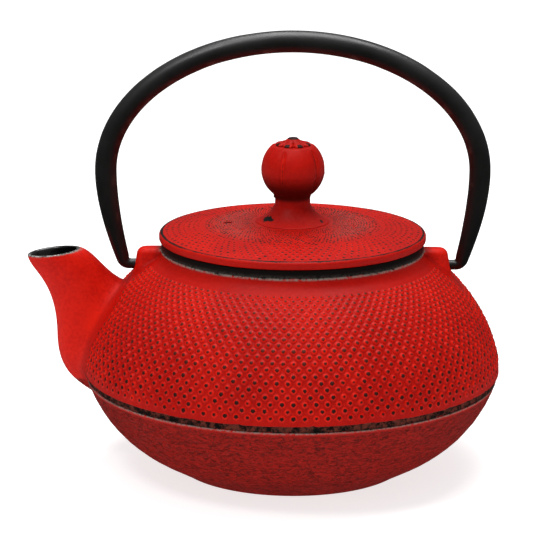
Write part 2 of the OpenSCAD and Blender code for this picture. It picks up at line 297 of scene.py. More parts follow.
redPaintAndShade = {
    # the third colour on the next line is painted shade for the ground between the hobnails
    "bright": rgb(218, 26, 6), "deep": rgb(186, 13, 2), "hollow": rgb(142, 6, 2),
    # brown: a worn tip's colour high up, lighter than iron as painted light from above
    "iron": rgb(44, 20, 14), "litTipBrown": rgb(92, 30, 20), "black": rgb(16, 14, 12), "rusty": rgb(104, 44, 32),
    "scuffed": rgb(128, 118, 110), "roughness": 0.50, "specular": 0.10, "relief": 0.00012,
    # how worn a tip must be before its paint starts to go, and until it has gone
    "tipLow": 0.50, "tipHigh": 0.78,
    # how far the paint's edges run in and out, in mm, and how sharp they are
    "raggedness": 1.5, "paintEdge": 0.06,
    # heights in metres, each where the change starts and where it is complete; the first pair is where
    # painted light from above turns worn tips from iron to brown
    "tipLightHeights": (0.044, 0.068), "rustEnd": (0.050, 0.040), "wrinkleTop": (0.0325, 0.031),
    "shadeTop": (0.1090, 0.1010), "shadeLow": (0.0966, 0.0984),
    "wrinkleDark": rgb(86, 12, 6), "wrinkleBright": rgb(148, 16, 7), "speck": rgb(66, 44, 38),
    # painted shade under the knob's ball
    "shadeUnderBall": rgb(48, 6, 2),
}
# on the lid the tips get almost no painted light: their upper colour is near the iron
lidPaintAndShade = dict(redPaintAndShade, litTipBrown=rgb(44, 16, 11), tipLow=0.30, tipHigh=0.62, raggedness=0.4)


def redPaintMaterial(name, paintAndShade, belly):
    # the tip value also sets the painted shade: the lower it is, the darker the paint
    # tip: how near a point is to the worn top of a hobnail; bare: mm inside a band of plain black iron;
    # scuff: an edge rubbed to grey
    material, tree, shader = newMaterial(name)
    w = Wiring(tree)
    tip, bare, scuff = w.attribute("tip"), w.attribute("bare"), w.attribute("scuff")
    cloud = w.noise(45, 3, 0.6)
    grain = w.noise(900, 2, 0.6)
    rubbed = w.noise(620, 3, 0.65)
    tone = w.plus(w.times(cloud, 0.6), w.times(grain, 0.4))
    colour = w.mix(w.ramp(tone, 0.35, 0.65), paintAndShade["deep"], paintAndShade["bright"])
    # painted shade: the paint is darkened where the tip value is low, most on the ground between the hobnails
    colour = w.mix(w.ramp(tip, 0.0, 0.55, 0.62, 0.0), colour, paintAndShade["hollow"])
    # their worn tips are dark iron; painted light from above makes them browner and lighter high up
    wear = w.plus(tip, w.times(w.plus(rubbed, -0.5), 0.55))
    worn = w.mix(w.ramp(w.height(), *paintAndShade["tipLightHeights"]), paintAndShade["iron"], paintAndShade["litTipBrown"])
    colour = w.mix(w.ramp(wear, paintAndShade["tipLow"], paintAndShade["tipHigh"]), colour, worn)
    if belly:
        # wrinkled skin of the lower half, with specks where the black shows through
        low = w.ramp(w.height(), *paintAndShade["wrinkleTop"])
        wrinkle = w.noise(560, 5, 0.72, (1, 1, 2.2), 0.8)
        skin = w.mix(w.ramp(wrinkle, 0.36, 0.60), paintAndShade["wrinkleDark"], paintAndShade["wrinkleBright"])
        speck = w.ramp(w.noise(760, 4, 0.8, (1, 1, 1.6)), 0.60, 0.68)
        skin = w.mix(w.times(speck, 0.5), skin, paintAndShade["speck"])
        colour = w.mix(low, colour, skin)
        relief = w.plus(w.times(w.times(wrinkle, low), 5.0), grain)
    else:
        # painted shade under the knob's ball: the paint is darkened below the ball's middle, where shade
        # falls
        under = w.times(w.ramp(w.height(), *paintAndShade["shadeTop"]), w.ramp(w.height(), *paintAndShade["shadeLow"]))
        colour = w.mix(w.times(under, 0.88), colour, paintAndShade["shadeUnderBall"])
        relief = w.plus(grain, w.times(rubbed, 0.5))
    # two noises of about 0.5 each move the paint's edge to both sides of where bare is 0
    ragged = w.plus(w.noise(900, 3, 0.7), w.times(w.noise(210, 2, 0.6), paintAndShade["raggedness"]))
    bare = w.plus(bare, w.plus(ragged, -0.5 - 0.5 * paintAndShade["raggedness"]))
    # the band shows brown where it is thinly painted, the neck stays black
    rust = w.times(w.ramp(w.noise(430, 4, 0.8), 0.42, 0.60), w.ramp(w.height(), *paintAndShade["rustEnd"]))
    metal = w.mix(rust, paintAndShade["black"], paintAndShade["rusty"])
    colour = w.mix(w.ramp(bare, -paintAndShade["paintEdge"], paintAndShade["paintEdge"]), colour, metal)
    scuff = w.times(scuff, w.ramp(w.noise(1100, 3, 0.8), 0.38, 0.56))
    w.feed(shader.inputs["Base Color"], w.mix(scuff, colour, paintAndShade["scuffed"]))
    roughness = paintAndShade["roughness"]
    w.feed(shader.inputs["Roughness"], w.ramp(cloud, 0.2, 0.8, roughness - 0.06, roughness + 0.08))
    shader.inputs["Specular IOR Level"].default_value = paintAndShade["specular"]
    w.feed(shader.inputs["Normal"], w.bump(relief, paintAndShade["relief"], 0.55))
    return material


enamelFinish = {
    "dark": rgb(12, 12, 12), "light": rgb(20, 19, 18), "rubbed": rgb(150, 148, 145),
    "roughness": (0.16, 0.30), "relief": 0.0003,
}


def enamelMaterial(name):
    # glassy black enamel, rubbed grey where the scuff attribute says so
    material, tree, shader = newMaterial(name)
    w = Wiring(tree)
    ripple = w.noise(180, 2, 0.5)
    colour = w.mix(w.ramp(ripple, 0.3, 0.7), enamelFinish["dark"], enamelFinish["light"])
    scuff = w.times(w.attribute("scuff"), w.ramp(w.noise(620, 3, 0.75), 0.40, 0.58))
    w.feed(shader.inputs["Base Color"], w.mix(scuff, colour, enamelFinish["rubbed"]))
    w.feed(shader.inputs["Roughness"], w.ramp(w.noise(300, 3, 0.6), 0.3, 0.7, *enamelFinish["roughness"]))
    w.feed(shader.inputs["Normal"], w.bump(ripple, enamelFinish["relief"], 0.35))
    return material


lacquerFinish = {
    "dark": rgb(9, 9, 8), "light": rgb(16, 16, 15), "rusty": rgb(44, 26, 22),
    "roughness": (0.32, 0.46), "relief": 0.00005,
}


def lacquerMaterial(name):
    # semi-gloss black lacquer on rolled sheet, with a fine orange peel and a few rusty spots
    material, tree, shader = newMaterial(name)
    w = Wiring(tree)
    cloud = w.noise(60, 4, 0.6)
    peel = w.noise(1300, 2, 0.5)
    colour = w.mix(w.ramp(cloud, 0.35, 0.7), lacquerFinish["dark"], lacquerFinish["light"])
    w.feed(shader.inputs["Base Color"], w.mix(w.attribute("scuff"), colour, lacquerFinish["rusty"]))
    haze = w.plus(cloud, w.times(peel, 0.3))
    w.feed(shader.inputs["Roughness"], w.ramp(haze, 0.4, 0.9, *lacquerFinish["roughness"]))
    w.feed(shader.inputs["Normal"], w.bump(peel, lacquerFinish["relief"], 0.5))
    return material


# each steel: its shade, its roughness, and how its fine lines are stretched
steelFinish = {
    "rimSteel": ((0.72, 0.73, 0.74, 1.0), 0.30, (1, 1, 22)),
    "wireSteel": ((0.64, 0.65, 0.66, 1.0), 0.34, (1, 1, 1)),
    "fixingSteel": ((0.42, 0.42, 0.43, 1.0), 0.42, (1, 1, 4)),
}


def steelMaterial(name):
    # satin steel: fine lines along one direction change its roughness and its relief
    shade, roughness, stretch = steelFinish[name]
    material, tree, shader = newMaterial(name)
    w = Wiring(tree)
    lines = w.noise(400, 4, 0.7, stretch)
    stain = w.noise(35, 3, 0.6)
    stained = tuple(c * 0.82 for c in shade[:3]) + (1.0,)
    w.feed(shader.inputs["Base Color"], w.mix(w.ramp(w.plus(lines, stain), 0.7, 1.3), stained, shade))
    shader.inputs["Metallic"].default_value = 1.0
    w.feed(shader.inputs["Roughness"], w.ramp(lines, 0.3, 0.7, roughness - 0.07, roughness + 0.07))
    w.feed(shader.inputs["Normal"], w.bump(lines, 0.00004, 0.4))
    return material


potPaint = redPaintMaterial("redPaintPot", redPaintAndShade, True)
lidPaint = redPaintMaterial("redPaintLid", lidPaintAndShade, False)
blackEnamel = enamelMaterial("blackEnamel")
blackLacquer = lacquerMaterial("blackLacquer")
rimSteel, wireSteel, fixingSteel = (steelMaterial(name) for name in steelFinish)
print("materials made")


# hobnails

def ringAngles(rowPitch, extraShort, extraLong):
    # directions of one cell's six corners, with extra directions spread evenly in the gaps between them
    c = (rowPitch ** 2 - 0.25) / (2 * rowPitch)
    corner = np.array([[0.5, -c], [0.5, c], [0, rowPitch - c], [-0.5, c], [-0.5, -c], [0, c - rowPitch]])
    angle = np.unwrap(np.arctan2(corner[:, 1], corner[:, 0]))
    gap = np.diff(np.append(angle, angle[0] + turn))
    extra = np.array([extraShort, extraLong, extraLong, extraShort, extraLong, extraLong])
    spread = [a + g * np.arange(e + 1) / (e + 1) for a, g, e in zip(angle, gap, extra)]
    return angle, np.concatenate(spread)


def nearestAcross(angles, otherAngles):
    # for each edge of a ring, the nearest point of the other ring, and the edges where that point changes
    middle = angles + np.diff(np.append(angles, angles[0] + turn)) / 2
    away = np.abs((middle[:, None] - otherAngles[None] + math.pi) % turn - math.pi)
    near = away.argmin(1)
    return np.arange(len(near)), near, np.flatnonzero(near != np.roll(near, 1))


def stripBetween(outerAngles, innerAngles, outerStart, innerStart):
    # triangles between two rings: every outer edge goes to the nearest inner point, and every inner edge
    # to the outer point at which that nearest point changes
    i, near, change = nearestAcross(outerAngles, innerAngles)
    return np.concatenate([
        np.stack([outerStart + i, outerStart + (i + 1) % len(i), innerStart + near], 1),
        np.stack([outerStart + change, innerStart + near[change], innerStart + near[change - 1]], 1)])


def stripOutwards(innerAngles, outerAngles, innerStart, outerStart):
    # the same strip where the inner ring has more points than the outer one
    i, near, change = nearestAcross(innerAngles, outerAngles)
    return np.concatenate([
        np.stack([innerStart + (i + 1) % len(i), innerStart + i, outerStart + near], 1),
        np.stack([innerStart + change, outerStart + near[change - 1], outerStart + near[change]], 1)])


# a nail's inner ring stands at this share of its radius and of its height; lower nails keep their paint
nailShape = {"ringReach": 0.52, "ringRise": 0.80, "leastWorn": 0.12}


def hobnailField(nails, profile, liftMask):
    # Rows of cells round a turned profile. A cell is a hexagon whose corners it shares with its neighbours,
    # with rings inside it that rise along the profile's normal. profile(v) gives r, z and the normal at
    # row v, which may be a fraction; liftMask(points, row) is 0 where the surface stays plain.
    columns, rows, pitch = nails["columns"], nails["rows"], nails["rowPitch"]
    c = (pitch ** 2 - 0.25) / (2 * pitch) / pitch
    row = np.arange(-1, rows)
    column = np.arange(columns)
    middle = column[None] + 0.5 * (row[:, None] % 2)
    # two corners belong to each cell: one at its upper right, one at its top; row -1 has corners only
    cornerU = np.stack([middle, middle + 0.5], -1).reshape(-1)
    cornerV = np.stack([row[:, None] + 1 - c + 0 * middle, row[:, None] + c + 0 * middle], -1).reshape(-1)

    def place(u, v, lift):
        r, z, nr, nz = profile(v)
        a = turn * u / columns
        r, z = r + lift * nr, z + lift * nz
        return np.stack([r * np.cos(a), r * np.sin(a), z], -1)

    cornerPoints = place(cornerU, cornerV, 0)

    def cornerIndex(i, j, which):
        # which: 0 the top corner, 1 the upper right corner
        return ((j + 1) * columns + i % columns) * 2 + which

    j, i = (g.ravel() for g in np.meshgrid(np.arange(rows), column, indexing="ij"))
    left = np.where(j % 2, i, i - 1)
    hexagon = np.stack([
        cornerIndex(left + 1, j - 1, 0), cornerIndex(i, j, 1), cornerIndex(i, j, 0),
        cornerIndex(i - 1, j, 1), cornerIndex(left, j - 1, 0), cornerIndex(left, j - 1, 1)], 1)
    # one cell's rings, in units of the spacing of its row
    hexAngles, outer = ringAngles(pitch, *nails["extra"])
    inner = outer[::2] if nails["innerRing"] else outer[:0]
    middleU = i + 0.5 * (j % 2)
    chance = np.stack([latticeValue(i, j, 0 * i, nails["seed"] + k) for k in range(4)])
    centreU = middleU + nails["jitter"] * chance[0]
    centreV = j + nails["jitter"] * chance[1] / pitch
    r = profile(j.astype(float))[0]
    fullHeight = nails["height"] * (turn * r / columns)
    size = nails["radius"] * (1 + nails["uneven"] * 0.5 * chance[2])
    lift = fullHeight * (1 + nails["uneven"] * chance[3])
    lift = lift * liftMask(place(middleU, j.astype(float), 0), j)
    lift = np.minimum(lift, nails.get("outerLimit", math.inf) - r)
    tip = nails["wear"] * (1 + nails["tipSpread"] * chance[2])
    tip = np.where(lift > nailShape["leastWorn"] * fullHeight, tip, 0)
    # each ring's directions, reach, rise and share of the wear; the last one is the nail's top
    parts = [(outer, 1.0, 0.0, 0.0)]
    if len(inner):
        parts.append((inner, nailShape["ringReach"], nailShape["ringRise"], nails["shoulder"]))
    parts.append((np.zeros(1), 0.0, 1.0, 1.0))
    us, vs, lifts, tips = [], [], [], []
    for angles, reach, rise, worn in parts:
        us.append(centreU[:, None] + size[:, None] * reach * np.cos(angles))
        vs.append(centreV[:, None] + size[:, None] * reach * np.sin(angles) / pitch)
        lifts.append(lift[:, None] * rise + 0 * angles)
        tips.append(tip[:, None] * worn + 0 * angles)
    u, v, raised, worn = (np.concatenate(x, 1) for x in (us, vs, lifts, tips))
    own = u.shape[1]
    cellPoints = place(u.ravel(), v.ravel(), raised.ravel())
    index = np.concatenate([hexagon, len(cornerPoints) + np.arange(u.size).reshape(-1, own)], 1)
    # one cell's faces, in its own numbers: six corners, then its rings, then its top
    template = [stripOutwards(outer, hexAngles, 6, 0)]
    lastRing, lastCount = 6, len(outer)
    if len(inner):
        template.append(stripBetween(outer, inner, 6, 6 + len(outer)))
        lastRing, lastCount = 6 + len(outer), len(inner)
    k = np.arange(lastCount)
    template.append(np.stack([lastRing + k, lastRing + (k + 1) % lastCount, np.full(lastCount, 5 + own)], 1))
    faces = index[:, np.concatenate(template)].reshape(-1, 3)
    points = np.concatenate([cornerPoints, cellPoints])
    tipValues = np.concatenate([np.zeros(len(cornerPoints)), worn.ravel()])
    lowLoop = np.arange(2 * columns)
    highLoop = 2 * columns * rows + np.arange(2 * columns)
    return points, faces, tipValues, lowLoop, highLoop


# the pot: belly, band, shoulder, neck, spout and lugs in one casting

pot = {
    "footRadius": 41.2, "footSlope": 30.5, "footEdge": 0.7, "wall": 4.0,
    "bellyTop": (73.5, 32.8), "bellyArc": 49.0, "lipRadius": 74.4, "lipHeight": 35.4,
    "bandDepth": 0.45, "shoulderArc": 56.3, "shoulderDrop": 7.2,
    "neckRadius": 46.7, "neckTop": 82.66, "neckFillet": 5.0, "neckBore": 42.5, "throat": 39.0,
    "seatHeight": 77.46, "seatMetal": 1.1, "scuffHeight": 79.35, "wrinkleDepth": 0.13,
}
# a nail's radius and height are shares of the spacing round the pot; no tip stands past outerLimit
potNails = {
    "columns": 120, "rows": 22, "rowPitch": 0.616, "firstHeight": 38.1,
    "plainBelow": 0.93, "plainAbove": 0.35,   # in rows, from the first and past the last
    "radius": 0.37, "height": 0.25, "shoulder": 0.66, "innerRing": True, "extra": (0, 1),
    "jitter": 0.012, "uneven": 0.10, "tipSpread": 0.12, "wear": 1.0, "seed": 5, "outerLimit": 74.28,
}

# the shoulder is one arc; the underside is a cone that runs tangent into another
shoulderCentre = np.array([
    pot["lipRadius"] - math.sqrt(pot["shoulderArc"] ** 2 - pot["shoulderDrop"] ** 2),
    pot["lipHeight"] - pot["shoulderDrop"]])
coneNormal = np.array([-math.sin(math.radians(pot["footSlope"])), math.cos(math.radians(pot["footSlope"]))])
bellyTop = np.array(pot["bellyTop"])
bellyTurn = math.degrees(math.acos(1 - (bellyTop - [pot["footRadius"], 0]) @ coneNormal / pot["bellyArc"]))
bellyEnd = math.radians(90 + pot["footSlope"] + bellyTurn)
bellyCentre = bellyTop + pot["bellyArc"] * np.array([math.cos(bellyEnd), math.sin(bellyEnd)])
bellyStart = pot["footSlope"] - 90
filletCentre = np.array([pot["neckRadius"] + pot["neckFillet"], 0.0])
filletCentre[1] = shoulderCentre[1] + math.sqrt((pot["shoulderArc"] + pot["neckFillet"]) ** 2
                                                - (filletCentre[0] - shoulderCentre[0]) ** 2)
filletTurn = math.degrees(math.atan2(*(filletCentre - shoulderCentre)[::-1]))
lipTurn = math.degrees(math.asin(pot["shoulderDrop"] / pot["shoulderArc"]))


def shoulderPoint(angle):
    # the shoulder's arc: centre + R (cos a, sin a)
    a, radius = np.radians(angle), pot["shoulderArc"]
    return shoulderCentre[0] + radius * np.cos(a), shoulderCentre[1] + radius * np.sin(a)


# row numbers along the shoulder: a row is rowPitch times the spacing round the pot at that height
fineTurn = np.linspace(lipTurn - 2, filletTurn + 6, 1500)
fineStep = np.gradient(np.radians(fineTurn)) * pot["shoulderArc"]
spacingThere = turn * shoulderPoint(fineTurn)[0] / potNails["columns"]
fineRow = np.cumsum(fineStep / (potNails["rowPitch"] * spacingThere))
firstTurn = math.degrees(math.asin((potNails["firstHeight"] - shoulderCentre[1]) / pot["shoulderArc"]))
fineRow -= np.interp(firstTurn, fineTurn, fineRow)


def shoulderRow(row):
    # r, z and the outward normal at a row of nails
    angle = np.interp(row, fineRow, fineTurn)
    r, z = shoulderPoint(angle)
    return r, z, np.cos(np.radians(angle)), np.sin(np.radians(angle))


# the plain outline without the band's step, with its length measured from the foot
outline = np.concatenate([
    [[0, 0], [pot["footRadius"], 0]],
    arcPoints(bellyCentre, pot["bellyArc"], bellyStart, bellyStart + bellyTurn, 60),
    arcPoints(shoulderCentre, pot["shoulderArc"], lipTurn, filletTurn, 90),
    arcPoints(filletCentre, pot["neckFillet"], filletTurn + 180, 180, 16),
    [[pot["neckRadius"], pot["neckTop"]]]])
outlineLength = np.concatenate([[0], np.cumsum(np.linalg.norm(np.diff(outline, axis=0), axis=1))])


def outlineRadius(z):
    # radius of the plain outline at a height
    return np.interp(z, outline[1:, 1], outline[1:, 0])


def outlineHeight(r):
    # height of the upper outline over a radius, from the neck out to the lip
    upper = outline[outline[:, 1] > pot["lipHeight"]][::-1]
    return np.interp(r, upper[:, 0], upper[:, 1])


def potSurface(angle, length, depth=0.0):
    # a point on the plain outline, turned by an angle from the spout's side, and depth mm under the skin
    def along(distance):
        return np.stack([np.interp(distance, outlineLength, outline[:, k]) for k in (0, 1)])

    near = 0.4   # the slope is taken over this length to both sides
    r, z = along(length)
    dr, dz = along(length + near) - along(length - near)
    size = np.hypot(dr, dz)
    r, z = r - depth * dz / size, z + depth * dr / size
    return np.stack([-r * np.cos(angle), r * np.sin(angle), z], -1)


spout = {
    # the outer and the inner edge in the plane y = 0, as (x, z) control points from root to mouth
    "outerLow": [(-63.2, 20.9), (-76.6, 29.5), (-83.9, 31.7), (-84.2, 47.4)],
    "outerHigh": [(-84.2, 47.4), (-84.2, 68.0), (-93.7, 70.6), (-94.5, 76.8)],
    "inner": [(-50.2, 66.9), (-64.6, 63.0), (-69.0, 78.4), (-75.8, 79.0)],
    "rootHalfWidth": 10.5, "mouthHalfWidth": 7.6, "rootWall": 2.6, "mouthWall": 1.5,
    "rimRounding": 0.5, "flareSide": 6.0, "flareEnds": 1.7, "columns": 88, "rows": 46,
    "rimStart": 0.985, "patchDepth": 2.0, "filletPull": 0.62, "filletReach": 1.15,
    # no nails stand beside the root, over a width that changes with height
    "plainHeights": (20, 26, 34, 41.4, 48.9, 55.1, 61.7, 66, 69),
    "plainHalfWidths": (7, 8.5, 9, 10.2, 13.2, 16.0, 14.4, 9, 3),
}


def spoutEdges(t):
    # outer and inner edge at t from 0 (root) to 1 (mouth): two cubics end to end outside, one inside
    t = np.asarray(t, float)
    low, high = np.clip(2 * t, -0.2, 1), np.clip(2 * t - 1, 0, 1.2)
    outer = np.where((t < 0.5)[..., None], bezier(spout["outerLow"], low), bezier(spout["outerHigh"], high))
    return outer, bezier(spout["inner"], t)


def spoutSection(t, angle, inset=0.0):
    # an oval on the chord between the two edges; angle 0 is its outer edge, away from the pot
    outer, inner = spoutEdges(t)
    middle, half = (outer + inner) / 2, np.linalg.norm(outer - inner, axis=-1) / 2
    along = (outer - inner) / (2 * half[..., None])
    width = blendTo(spout["rootHalfWidth"], spout["mouthHalfWidth"], smoothStep(-0.15, 0.8, t))
    reach = (half - inset) * np.cos(angle)
    return np.stack([middle[..., 0] + along[..., 0] * reach, -(width - inset) * np.sin(angle),
                     middle[..., 1] + along[..., 1] * reach], -1)


def spoutMiddle(t):
    # the middle of a section, as a point in the plane y = 0
    outer, inner = spoutEdges(np.array([t]))
    x, z = (outer[0] + inner[0]) / 2
    return [x, 0, z]


def spoutSolid():
    # From inside out: a patch under the pot's skin, straight up through the skin at the root line, a fillet
    # that leaves the skin along its tangent and joins the tube (a cubic), the tube, and its rounded rim.
    angle = turn * np.arange(spout["columns"]) / spout["columns"]
    t = np.linspace(0.02, 0.7, 240)[:, None]
    tube = spoutSection(t + 0 * angle, angle + 0 * t)
    out = np.hypot(tube[..., 0], tube[..., 1]) - outlineRadius(tube[..., 2])
    last = len(t) - 1 - (out[::-1] < 0).argmax(0)   # the last place where the tube is still inside the pot
    columns = np.arange(len(angle))
    share = out[last, columns] / (out[last, columns] - out[last + 1, columns])
    crossing = t[last, 0] + share * (t[1, 0] - t[0, 0])
    meet = spoutSection(crossing, angle)
    # the root line, in (angle round the pot, length along the outline), grown away from its middle
    radius = np.hypot(meet[:, 0], meet[:, 1])
    meetAngle = np.arctan2(meet[:, 1], -meet[:, 0])
    lengths = np.linspace(outlineLength[1], outlineLength[-1], 3000)
    onLine = potSurface(0, lengths)
    gap = np.hypot(radius[:, None] + onLine[None, :, 0], meet[:, 2:] - onLine[None, :, 2])
    meetLength = lengths[gap.argmin(1)]
    middleLength = (meetLength.max() + meetLength.min()) / 2
    flat = np.stack([meetAngle * radius, meetLength - middleLength], 1)
    flare = blendTo(spout["flareEnds"], spout["flareSide"], np.abs(np.sin(angle)) ** 1.5)
    grown = smoothRound(flat * (1 + flare / np.linalg.norm(flat, axis=1))[:, None], 3)

    def onPot(scale, depth):
        line = grown * scale
        length = middleLength + line[:, 1]
        r = np.interp(length, outlineLength, outline[:, 0])
        return potSurface(line[:, 0] / r, length, depth)

    patch = np.stack([onPot(s, spout["patchDepth"]) for s in (0.25, 0.5, 0.75, 0.93, 1.0)])
    root = onPot(1.0, 0.02)
    inward = onPot(0.96, 0.02) - root
    inward /= np.linalg.norm(inward, axis=1, keepdims=True)
    step = 0.01
    speed = np.linalg.norm(spoutSection(crossing + step, angle) - meet, axis=1) / step
    joined = crossing + spout["filletReach"] * flare / speed
    end = spoutSection(joined, angle)
    ahead = spoutSection(joined + step, angle) - end
    ahead /= np.linalg.norm(ahead, axis=1, keepdims=True)
    first = root + inward * spout["filletPull"] * np.linalg.norm(meet - root, axis=1)[:, None]
    second = end - ahead * spout["filletPull"] * np.linalg.norm(end - meet, axis=1)[:, None]
    w = np.linspace(0, 1, 9)[:-1, None, None]
    fillet = (1 - w) ** 3 * root + 3 * w * (1 - w) ** 2 * first + 3 * w * w * (1 - w) * second + w ** 3 * end
    rows = joined + (spout["rimStart"] - joined) * np.linspace(0, 1, spout["rows"])[:, None]
    body = spoutSection(rows, angle + 0 * rows)
    rim = np.linspace(0, 1, 6)[1:, None]
    rimInset = spout["rimRounding"] * (1 - np.sqrt(1 - rim ** 2))
    rimPlace = spout["rimStart"] + 0.015 * rim
    body = np.concatenate([body, spoutSection(rimPlace + 0 * angle, angle + 0 * rim, rimInset + 0 * angle)])
    # uneven casting skin, which dies out towards the rim
    skin = castNoise(body, 9.0, 21) * 0.10 + castNoise(body, 3.2, 22) * 0.035
    skin = skin * smoothStep(1.0, 0.9, np.linspace(0, 1, len(body)))[:, None]
    body = body + skin[..., None] * np.stack([0 * angle, -np.sin(angle), 0 * angle], -1)
    rings = np.concatenate([patch, fillet, body])
    points, faces = closedSkin(rings, potSurface(0.0, middleLength, spout["patchDepth"]), spoutMiddle(1.0))
    # the rim and the disc that the channel cuts away are enamelled
    slots = np.zeros(sum(len(f) for f in faces), int)
    mouthRows = np.arange(len(faces[0])) // spout["columns"] >= len(rings) - 4
    slots[:len(faces[0])][mouthRows] = 1
    slots[-spout["columns"]:] = 1
    return points, faces, slots


def smoothRound(line, times):
    # averages each point of a closed line with its neighbours
    for _ in range(times):
        line = (line * 2 + np.roll(line, 1, 0) + np.roll(line, -1, 0)) / 4
    return line


def spoutChannel():
    # the bore: the sections again, one wall smaller, opening out to the rim at the mouth
    angle = turn * np.arange(64) / 64
    start, end = -0.01, 1.05
    t = np.concatenate([np.linspace(start, 0.94, 40), np.linspace(0.95, 1.0, 8), [end]])[:, None]
    inset = blendTo(spout["rootWall"], spout["mouthWall"], t)
    flare = np.clip((t - 0.955) / 0.045, 0, 1)
    inset = inset - (spout["mouthWall"] - spout["rimRounding"] - 0.35) * (1 - np.sqrt(1 - flare ** 2))
    rings = spoutSection(t + 0 * angle, angle + 0 * t, inset + 0 * angle)
    return closedSkin(rings, spoutMiddle(start), spoutMiddle(end))


lug = {
    "pivotHeight": 73.47, "reach": 56.2, "lean": 1.1, "halfThickness": 3.8, "top": 79.67, "rounding": 2.4,
    "innerEnd": 43.6, "flare": 3.2, "boreRadius": 1.9, "boreDepth": 6.2, "squareness": 3.6, "columns": 72,
    "footHeight": 76.0, "clearHalfWidth": 7.2, "clearFrom": 61.5,   # no nails stand this close to a lug
}


def lugSolid(side):
    # A stack of contours, each a superellipse |x|^n + |y|^n = 1 stretched to the lug's length and thickness.
    # Near the shoulder it grows by a quarter circle, so that it leaves the skin along its tangent.
    angle = turn * np.arange(lug["columns"]) / lug["columns"]
    n = 2 / lug["squareness"]
    unitX = np.sign(np.cos(angle)) * np.abs(np.cos(angle)) ** n
    unitY = np.sign(np.sin(angle)) * np.abs(np.sin(angle)) ** n

    def contour(z, grow, inset):
        leaning = lug["lean"] * (lug["pivotHeight"] - z) / (lug["top"] - lug["pivotHeight"])
        outer = lug["reach"] + leaning + grow - inset
        middle, half = (outer + lug["innerEnd"]) / 2, (outer - lug["innerEnd"]) / 2
        width = lug["halfThickness"] + grow - inset
        return middle + half * unitX, width * unitY

    straightX, straightY = contour(lug["footHeight"], 0, 0)
    free = lug["top"] - lug["rounding"] - outlineHeight(np.hypot(straightX, straightY))
    flare = np.clip(free * 0.75, 0.25, lug["flare"])
    flare = smoothRound(flare[:, None], 2)[:, 0]
    rows = []
    for k in np.linspace(0, 1, 7):
        # quarter circle: grow falls from the flare's radius to nothing as the height rises to that radius
        grow = flare * (1 - np.sin(k * math.pi / 2))
        up = flare * (1 - np.cos(k * math.pi / 2))
        x, y = contour(lug["footHeight"], grow, 0)
        z = outlineHeight(np.hypot(x, y)) + up
        x, y = contour(np.minimum(z, lug["top"]), grow, 0)
        z = outlineHeight(np.hypot(x, y)) + up
        rows.append(np.stack([x, y, np.minimum(z, lug["top"] - 0.4)], 1))
    buried = rows[0] + np.array([0, 0, -2.2])
    top = rows[-1]
    for k in np.linspace(0, 1, 8)[1:]:
        a = k * math.pi / 2
        inset = lug["rounding"] * (1 - np.cos(a))
        startZ = np.minimum(np.maximum(top[:, 2], lug["top"] - lug["rounding"]), lug["top"] - 0.2)
        z = startZ + (lug["top"] - startZ) * np.sin(a)
        x, y = contour(z, 0, inset)
        rows.append(np.stack([x, y, z], 1))
    rings = np.stack([buried] + rows)
    low = [rings[0, :, 0].mean(), 0, rings[0, :, 2].mean() - 0.2]
    high = [rings[-1, :, 0].mean(), 0, lug["top"]]
    points, faces = closedSkin(rings, low, high)
    if side < 0:   # half a turn about Z
        points = points * [-1, -1, 1]
    return points, faces


def lugBore(side):
    # a drill a little longer than the hole is deep
    radius, end, past = lug["boreRadius"], lug["reach"] - lug["boreDepth"], lug["reach"] + 6
    points, faces = closedSkin(turned([[radius, end], [radius, past]], 48), [0, 0, end], [0, 0, past])
    # the drill's axis Z becomes X: (x, y, z) goes to (z, y, -x)
    points = np.stack([points[:, 2], points[:, 1], lug["pivotHeight"] - points[:, 0]], 1)
    return points * [side, side, 1], faces


